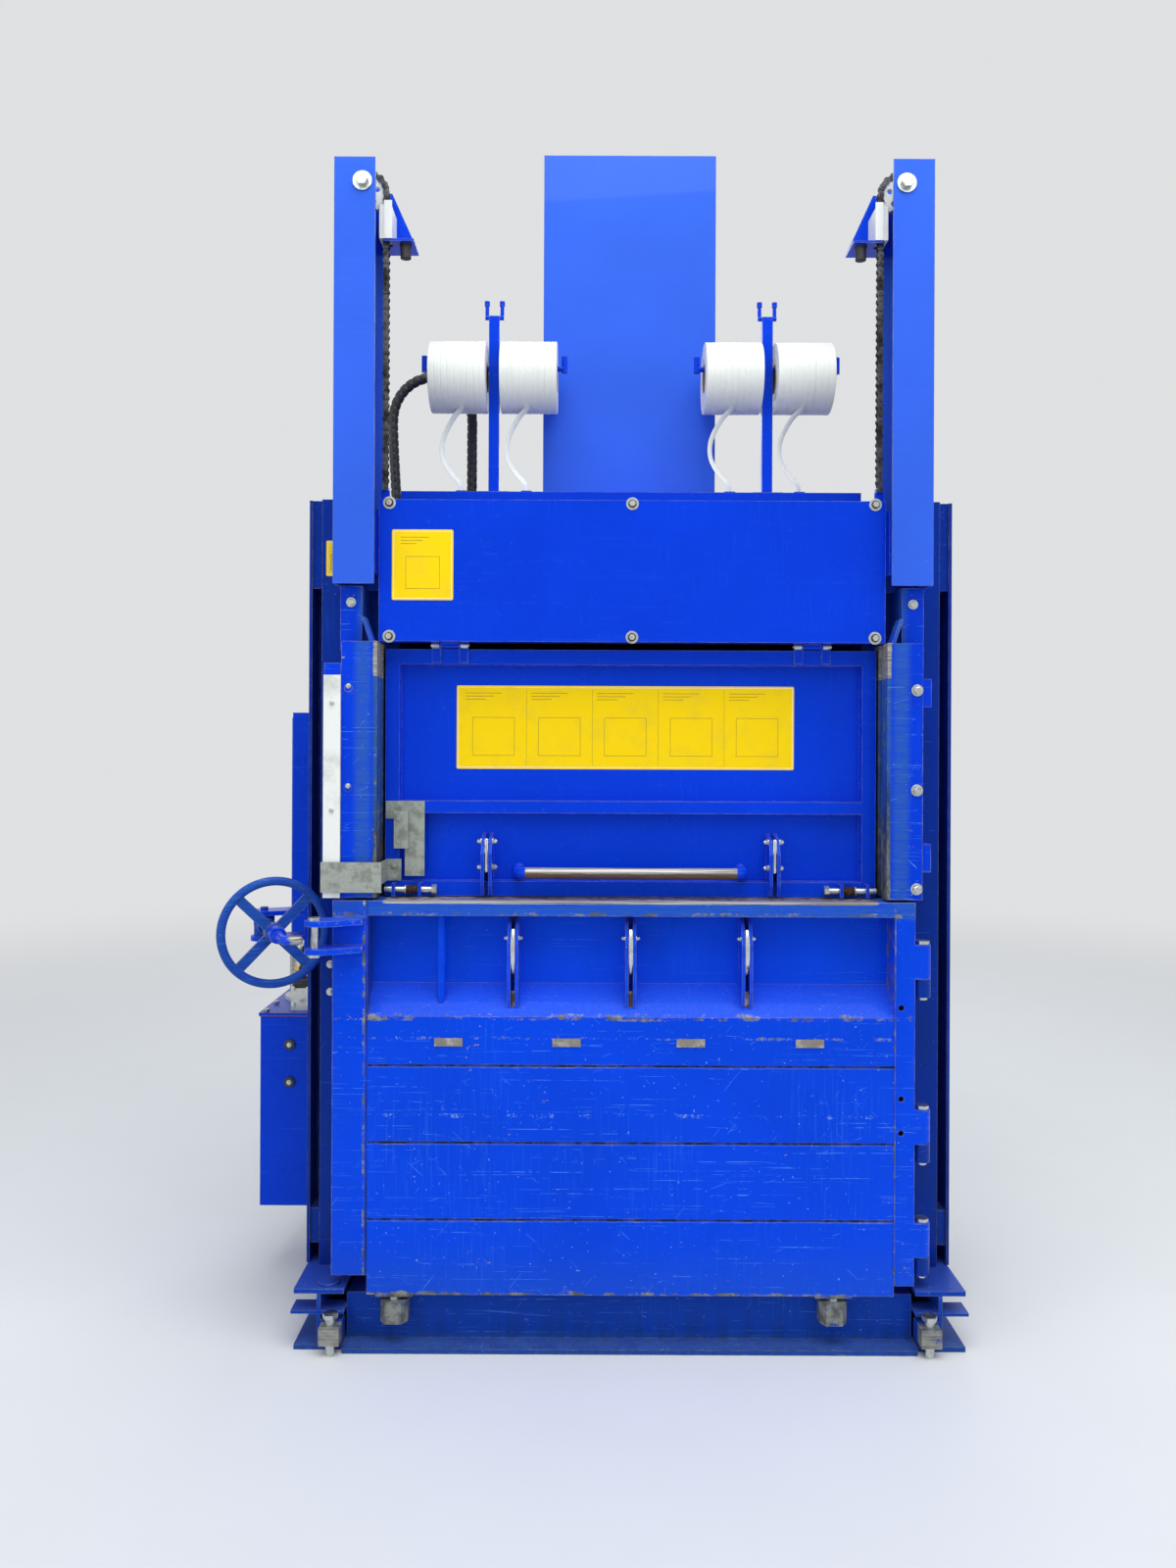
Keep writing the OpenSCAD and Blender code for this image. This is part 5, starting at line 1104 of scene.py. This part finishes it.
class BALER_OT_bolts(bpy.types.Operator):
    """Bolt heads, washers and seals on the columns, the header and the oil tank"""
    bl_idname = "baler.bolts"
    bl_label = "Bolts"

    def execute(self, context):
        front = DOOR_FACE - 0.0001
        bolts("guide_column_bolts", [(0.707, front, z) for z in (1.145, 1.390, 1.638)], 0.0094)
        bolts("left_column_bolts", [(-0.774, COLUMN_FACE, z) for z in (0.929, 0.858)], 0.0065)
        bolts("left_guide_bolts", [(-0.704, front, z) for z in (1.395, 1.643)], 0.0042)
        bolts("upper_column_bolts", [(x, COLUMN_FACE - 0.095, 1.855) for x in (-0.705, 0.705)], 0.008)

        low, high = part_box("oil_tank")
        face, seal, seal_zs = low[1], 0.006, (0.6595, 0.555)
        seals = [bar("seal", (-0.940, face, z), (-0.940, face - seal, z), 0.015) for z in seal_zs]
        fitted("tank_seals", seals, "frame", "black_rubber", "black_rubber", bevel=(0.002,), angle=35)
        bolts("tank_bolts", [(-0.940, face - seal, z) for z in seal_zs], 0.0045)
        (x0, y0, _), (x1, y1, top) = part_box("tank_lid")
        heads = [bar("lid_bolt", (x, y, top - 0.0081), (x, y, top + 0.0005), 0.0085, 6)
                 for x in (x0 + 0.018, x1 - 0.016) for y in (y0 + 0.016, y0 + 0.120, y1 - 0.016)]
        fitted("tank_lid_bolts", heads, "frame", "zinc_plated", "zinc", bevel=(0.0008, 1))
        gasket = slab("tank_gasket", (low[0] - 0.003, low[1] - 0.003, high[2] - 0.002),
                      (high[0] + 0.001, high[1] + 0.003, high[2] + 0.0005))
        dress(gasket, "frame", "gasket_red", "black_rubber")

        def discs(proud, deep, radius, sides):
            return [bar("disc", (x, HEADER_FACE - proud, z), (x, HEADER_FACE - deep, z), radius, sides)
                    for x in (-0.610, 0.0, 0.610) for z in (1.770, 2.105)]

        fitted("header_washers", discs(0.0014, 0, 0.0160, 32), "loading_door", "zinc_plated", "zinc",
               bevel=(0.0004, 1), angle=35)
        # Dark steel discs under the header bolt heads make a painted shadow ring between head and washer
        fitted("header_bolt_shadow_rings", discs(0.0022, 0.0010, 0.0106, 28), "loading_door", "chain_steel",
               "bare_steel", angle=30)
        strip_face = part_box("glide_strip")[0][1]
        bolts("strip_screws", [(-0.743, strip_face + 0.0001, z) for z in (1.335, 1.600)], 0.0036)
        return {"FINISHED"}


class BALER_OT_door_trim(bpy.types.Operator):
    """The plate edges on both sides of the plank wall and the caps of the flap hinges"""
    bl_idname = "baler.door_trim"
    bl_label = "Door trim"

    def execute(self, context):
        left, right = DOOR_SEAMS
        for name, x0, x1, proud, low, bevel in (
                ("door_stile_plate", DOOR_LEFT + 0.0015, left - 0.005, 0.003, 0.1835, 0.0012),
                ("door_right_edge", right - 0.001, right + 0.002, 0.0025, 0.162, 0.0009)):
            plate = slab(name, (x0, DOOR_FACE - proud, low), (x1, DOOR_FACE + 0.0005, DOOR_TOP))
            dress(smooth(soften(plate, bevel)), "bale_door", "door_blue", "worn_door_paint")
        caps = [bar("cap", (x + side * (BARREL_L / 2 - 0.019), FLAP_AXIS_Y, FLAP_AXIS_Z),
                    (x + side * (BARREL_L / 2 + 0.0006), FLAP_AXIS_Y, FLAP_AXIS_Z), BARREL_R + 0.0007, 32)
                for x in (-FLAP_HINGE_X, FLAP_HINGE_X) for side in (-1, 1)]
        fitted("flap_hinge_caps", caps, "flap", "zinc_plated", "zinc", bevel=(0.0008, 2), angle=35)
        return {"FINISHED"}


def bead(name, start, end, size):
    """A weld bead: a string of overlapping flat ripples between two points."""
    draw = random.Random(name)
    points = flow([start, (Vector(start) + Vector(end)) / 2, end], 0.0022)
    ripple = [size * (0.80 + 0.28 * (k % 2) + draw.uniform(-0.08, 0.08)) for k in range(len(points))]
    return sleeve(name, points, lambda i: circle(ripple[i], 8), (0.3, 0.9, 0.2))


class BALER_OT_welds(bpy.types.Operator):
    """Weld beads on the handle, the lock lugs and the corners of the base"""
    bl_idname = "baler.welds"
    bl_label = "Welds"

    def execute(self, context):
        size, face = sizes().weld_size / 2, DOOR_FACE - 0.003
        fillet = [(0, 0.013), (0, 0.0185), (0.002, 0.0185), (0.0055, 0.0145), (0.0055, 0.013), (0, 0.013)]
        fitted("handle_welds", [lathe("ring", fillet, (x, FLAP_SHEET + 0.0003, 1.176), (0, -1, 0), 28)
                                for x in (-0.286, 0.286)], "flap", "panel_blue", "blue_paint", angle=50)
        fitted("lug_welds", [bead(f"lug_weld_{z}", (DOOR_LEFT + 0.002, face, z), (-0.664, face, z), size)
                             for z in LUG_EDGES], "bale_door", "door_blue", "worn_door_paint", angle=60)
        fitted("base_welds", [bead(f"flange_weld_{x}", (x, -0.497, 0.0125), (x, -0.442, 0.0125), size)
                              for x in (-0.708, 0.708)], "frame", "base_blue", "base_paint", angle=60)
        return {"FINISHED"}


class BALER_OT_strap_guides(bpy.types.Operator):
    """Polished crescents and cross bolts between the plates of the strap guides"""
    bl_idname = "baler.strap_guides"
    bl_label = "Strap guides"

    def execute(self, context):
        arm, half, flat = 0.100, 0.0051, 0.0004
        crescents, nuts, feet = [], [], []
        for x in (-0.294, 0.0, 0.290):
            middle = (x, DOOR_FACE + 0.104, 0.985)
            tip = slab("crescent", (x - half, middle[1] - arm, middle[2] - flat),
                       (x + half, middle[1] - arm + 0.013, middle[2] + flat))
            edit(tip, lambda c, n: n.z > 0.9, swing(14, 38, middle, (-1, 0, 0)))
            edit(tip, lambda c, n: n.z < -0.9 and abs(c.z - middle[2] + flat) < 1e-5,
                 swing(14, 34, middle, (1, 0, 0)), heal)
            # The wear ring narrows towards both ends
            for point in tip.data.vertices:
                reach = min(1.0, abs(point.co.z - middle[2]) / 0.066)
                point.co.x = x + (point.co.x - x) * math.sqrt(1 - 0.85 * reach * reach)
            crescents.append(smooth(soften(tip, 0.0012), 50))
            nuts += acorn_nuts(x, DOOR_FACE + 0.030, 1.015, 0.0056)
            feet.append(slab("foot", (x - 0.0045, DOOR_FACE + 0.022, 0.846),
                             (x + 0.0045, DOOR_FACE + 0.030, 0.884)))
        fitted("door_guide_crescents", crescents, "bale_door", "ring_steel", "zinc")
        fitted("door_guide_feet", feet, "bale_door", "worn_ring", "bare_steel")
        fitted("door_guide_bolts", nuts, "bale_door", "zinc_plated", "zinc", angle=30)
        bars, nuts = [], []
        face = -0.388
        for x in (-0.365, 0.365):
            rail = slab("guide_bar", (x - 0.0045, face - 0.031, 1.176), (x + 0.0045, face - 0.012, 1.262))
            bars.append(smooth(soften(rail, 0.0025, 3), 50))
            for z in (1.187, 1.253):
                nuts += acorn_nuts(x, face - 0.006, z, 0.0072)
        fitted("flap_guide_bars", bars, "flap", "ring_steel", "zinc")
        fitted("flap_guide_bolts", nuts, "flap", "zinc_plated", "zinc", angle=30)
        return {"FINISHED"}


class BALER_OT_spring_bolts(bpy.types.Operator):
    """The flap's two spring bolts, each with a wound spring and a nut"""
    bl_idname = "baler.spring_bolts"
    bl_label = "Spring bolts"

    def execute(self, context):
        y, z, radius, wire, turns, per_turn = -0.403, 1.131, 0.008, 0.0017, 8, 18
        for side, label in ((1, "right"), (-1, "left")):
            low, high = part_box(f"{label}_spring_bolt")
            inner, outer = (low[0], high[0]) if side > 0 else (high[0], low[0])
            rod = bar(f"{label}_bolt_rod", (inner + side * 0.003, y, z), (outer, y, z), radius, 32)
            edit(rod, lambda c, n: n.x * side > 0.9, inset(0.0022, 0.0012))
            nut = bar("nut", (inner, y, z), (inner + side * 0.012, y, z), 0.013, 6)
            edit(nut, lambda c, n: abs(n.x) > 0.9, inset(0.002, 0.0008))
            # The collar that the spring pushes on
            collar = soften(bar("collar", (side * 0.569, y, z), (side * 0.572, y, z), 0.012, 32), 0.0006, 1)
            fitted(f"{label}_bolt_rod", [rod, nut, collar], f"{label}_bolt", "zinc_plated", "zinc",
                   f"{label}_spring_bolt", angle=30)
            a, b = side * 0.5395, side * 0.5688
            coil = []
            for k in range(turns * per_turn + 1):
                t = k / (turns * per_turn)
                angle = 2 * math.pi * turns * t
                coil.append(Vector((a + (b - a) * t, y + (radius + wire) * math.cos(angle),
                                    z + (radius + wire) * math.sin(angle))))
            spring = smooth(sleeve(f"{label}_bolt_spring", coil, lambda i: circle(wire, 8), (1, 0, 0)), 60)
            coat(spring, "rusty_steel")
            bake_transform(spring)
        return {"FINISHED"}


class BALER_OT_power_unit(bpy.types.Operator):
    """Fins, screws, fittings and caps of the pump, and the door of the control cabinet"""
    bl_idname = "baler.power_unit"
    bl_label = "Power unit"

    def execute(self, context):
        low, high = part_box("pump_block")
        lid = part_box("tank_lid")[1][2]
        x, y, count, up = -0.917, 0.120, 20, (0, 0, 1)
        fins = []
        for k in range(count):
            fin = slab("fin", (0.066, -0.0016, lid + 0.022), (0.0765, 0.0016, lid + 0.132))
            turn = Matrix.Rotation(2 * math.pi * k / count, 4, "Z")
            fin.data.transform(Matrix.Translation((x, y, 0)) @ turn)
            fins.append(fin)
        fins.append(lathe("motor_cap", [(lid + 0.132, 0.0), (lid + 0.132, 0.0775), (lid + 0.150, 0.0775),
                                        (lid + 0.1585, 0.066), (lid + 0.1585, 0.0)], (x, y, 0), up, 40))
        fitted("motor_fins", fins, "frame", "cast_aluminium", "pump_aluminium", angle=30)
        fitted("brass_fittings", [bar("fitting", start, end, radius, 6) for start, end, radius in (
            ((-0.928, -0.036, 0.832), (-0.928, -0.036, 0.832 + 0.014), 0.0175),
            ((-0.928, -0.036, 0.856), (-0.928, -0.036, 0.856 + 0.012), 0.0165),
            ((-0.650, -0.036, 0.944), (-0.632, -0.036, 0.944), 0.0185))],
            "frame", "brass", "zinc", bevel=(0.001, 1))
        solenoid = slab("pump_solenoid", (low[0] + 0.0655, low[1] + 0.0035, low[2] + 0.0615),
                        (low[0] + 0.1145, low[1] + 0.0645, low[2] + 0.0865))
        dress(smooth(soften(solenoid, 0.002)), "frame", "black_rubber", "black_rubber")
        screws = [(x, low[1], z) for x in (-0.938, -0.896) for z in (lid + 0.008, lid + 0.054)]
        bolts("pump_screws", screws, 0.0042)
        cap = lathe("breather_cap", [(lid, 0.0), (lid, 0.026), (lid + 0.012, 0.026), (lid + 0.014, 0.034),
                                     (lid + 0.034, 0.034), (lid + 0.040, 0.028), (lid + 0.040, 0.0)],
                    (-0.985, 0.205, 0), up, 32)
        dress(smooth(cap), "frame", "black_rubber", "black_rubber")
        (x0, y0, z0), (x1, y1, z1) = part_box("control_cabinet")
        door = slab("cabinet_door", (x0 - 0.006, y0 + 0.014, z0 + 0.014),
                    (x0 + 0.0005, y1 - 0.014, z1 - 0.014))
        edit(door, lambda c, n: n.x < -0.9, inset(0.012, 0.0), inset(0.004, -0.0022))
        dress(smooth(soften(door, 0.0015), 40), "frame", "frame_blue", "blue_paint")
        locks, rosette = [], [(0, 0.0), (0, 0.012), (0.004, 0.012), (0.005, 0.0095), (0.005, 0.0)]
        for z in (z0 + 0.16, z1 - 0.16):
            locks.append(lathe("cabinet_lock", rosette, (x0 - 0.006, y0 + 0.050, z), (-1, 0, 0), 24))
            locks.append(slab("key_bar", (x0 - 0.0125, y0 + 0.0485, z - 0.007),
                              (x0 - 0.0105, y0 + 0.0515, z + 0.007)))
        fitted("cabinet_locks", locks, "frame", "black_rubber", "black_rubber", angle=30)
        return {"FINISHED"}


STEPS = (BALER_OT_stage, BALER_OT_paint, BALER_OT_straps, BALER_OT_hose, BALER_OT_rolls,
         BALER_OT_chains, BALER_OT_stickers, BALER_OT_bolts, BALER_OT_door_trim, BALER_OT_welds,
         BALER_OT_strap_guides, BALER_OT_spring_bolts, BALER_OT_power_unit)


class BALER_PT_panel(bpy.types.Panel):
    bl_label = "Recycling Baler"
    bl_idname = "BALER_PT_panel"
    bl_space_type = "VIEW_3D"
    bl_region_type = "UI"
    bl_category = "Baler"

    def draw(self, context):
        layout = self.layout
        for settings in (context.scene.baler_sizes, context.scene.baler_colours):
            box = layout.box()
            for key in settings.__annotations__:
                box.prop(settings, key)
        for step in STEPS:
            layout.operator(step.bl_idname)


CLASSES = (BalerSizes, BalerColours, *STEPS, BALER_PT_panel)


def register():
    for cls in CLASSES:
        bpy.utils.register_class(cls)
    bpy.types.Scene.baler_sizes = PointerProperty(type=BalerSizes)
    bpy.types.Scene.baler_colours = PointerProperty(type=BalerColours)


def unregister():
    del bpy.types.Scene.baler_colours
    del bpy.types.Scene.baler_sizes
    for cls in reversed(CLASSES):
        bpy.utils.unregister_class(cls)


def main():
    register()
    for step in STEPS:
        space, name = step.bl_idname.split(".")
        getattr(getattr(bpy.ops, space), name)()
    deselect()


if __name__ == "__main__":
    main()
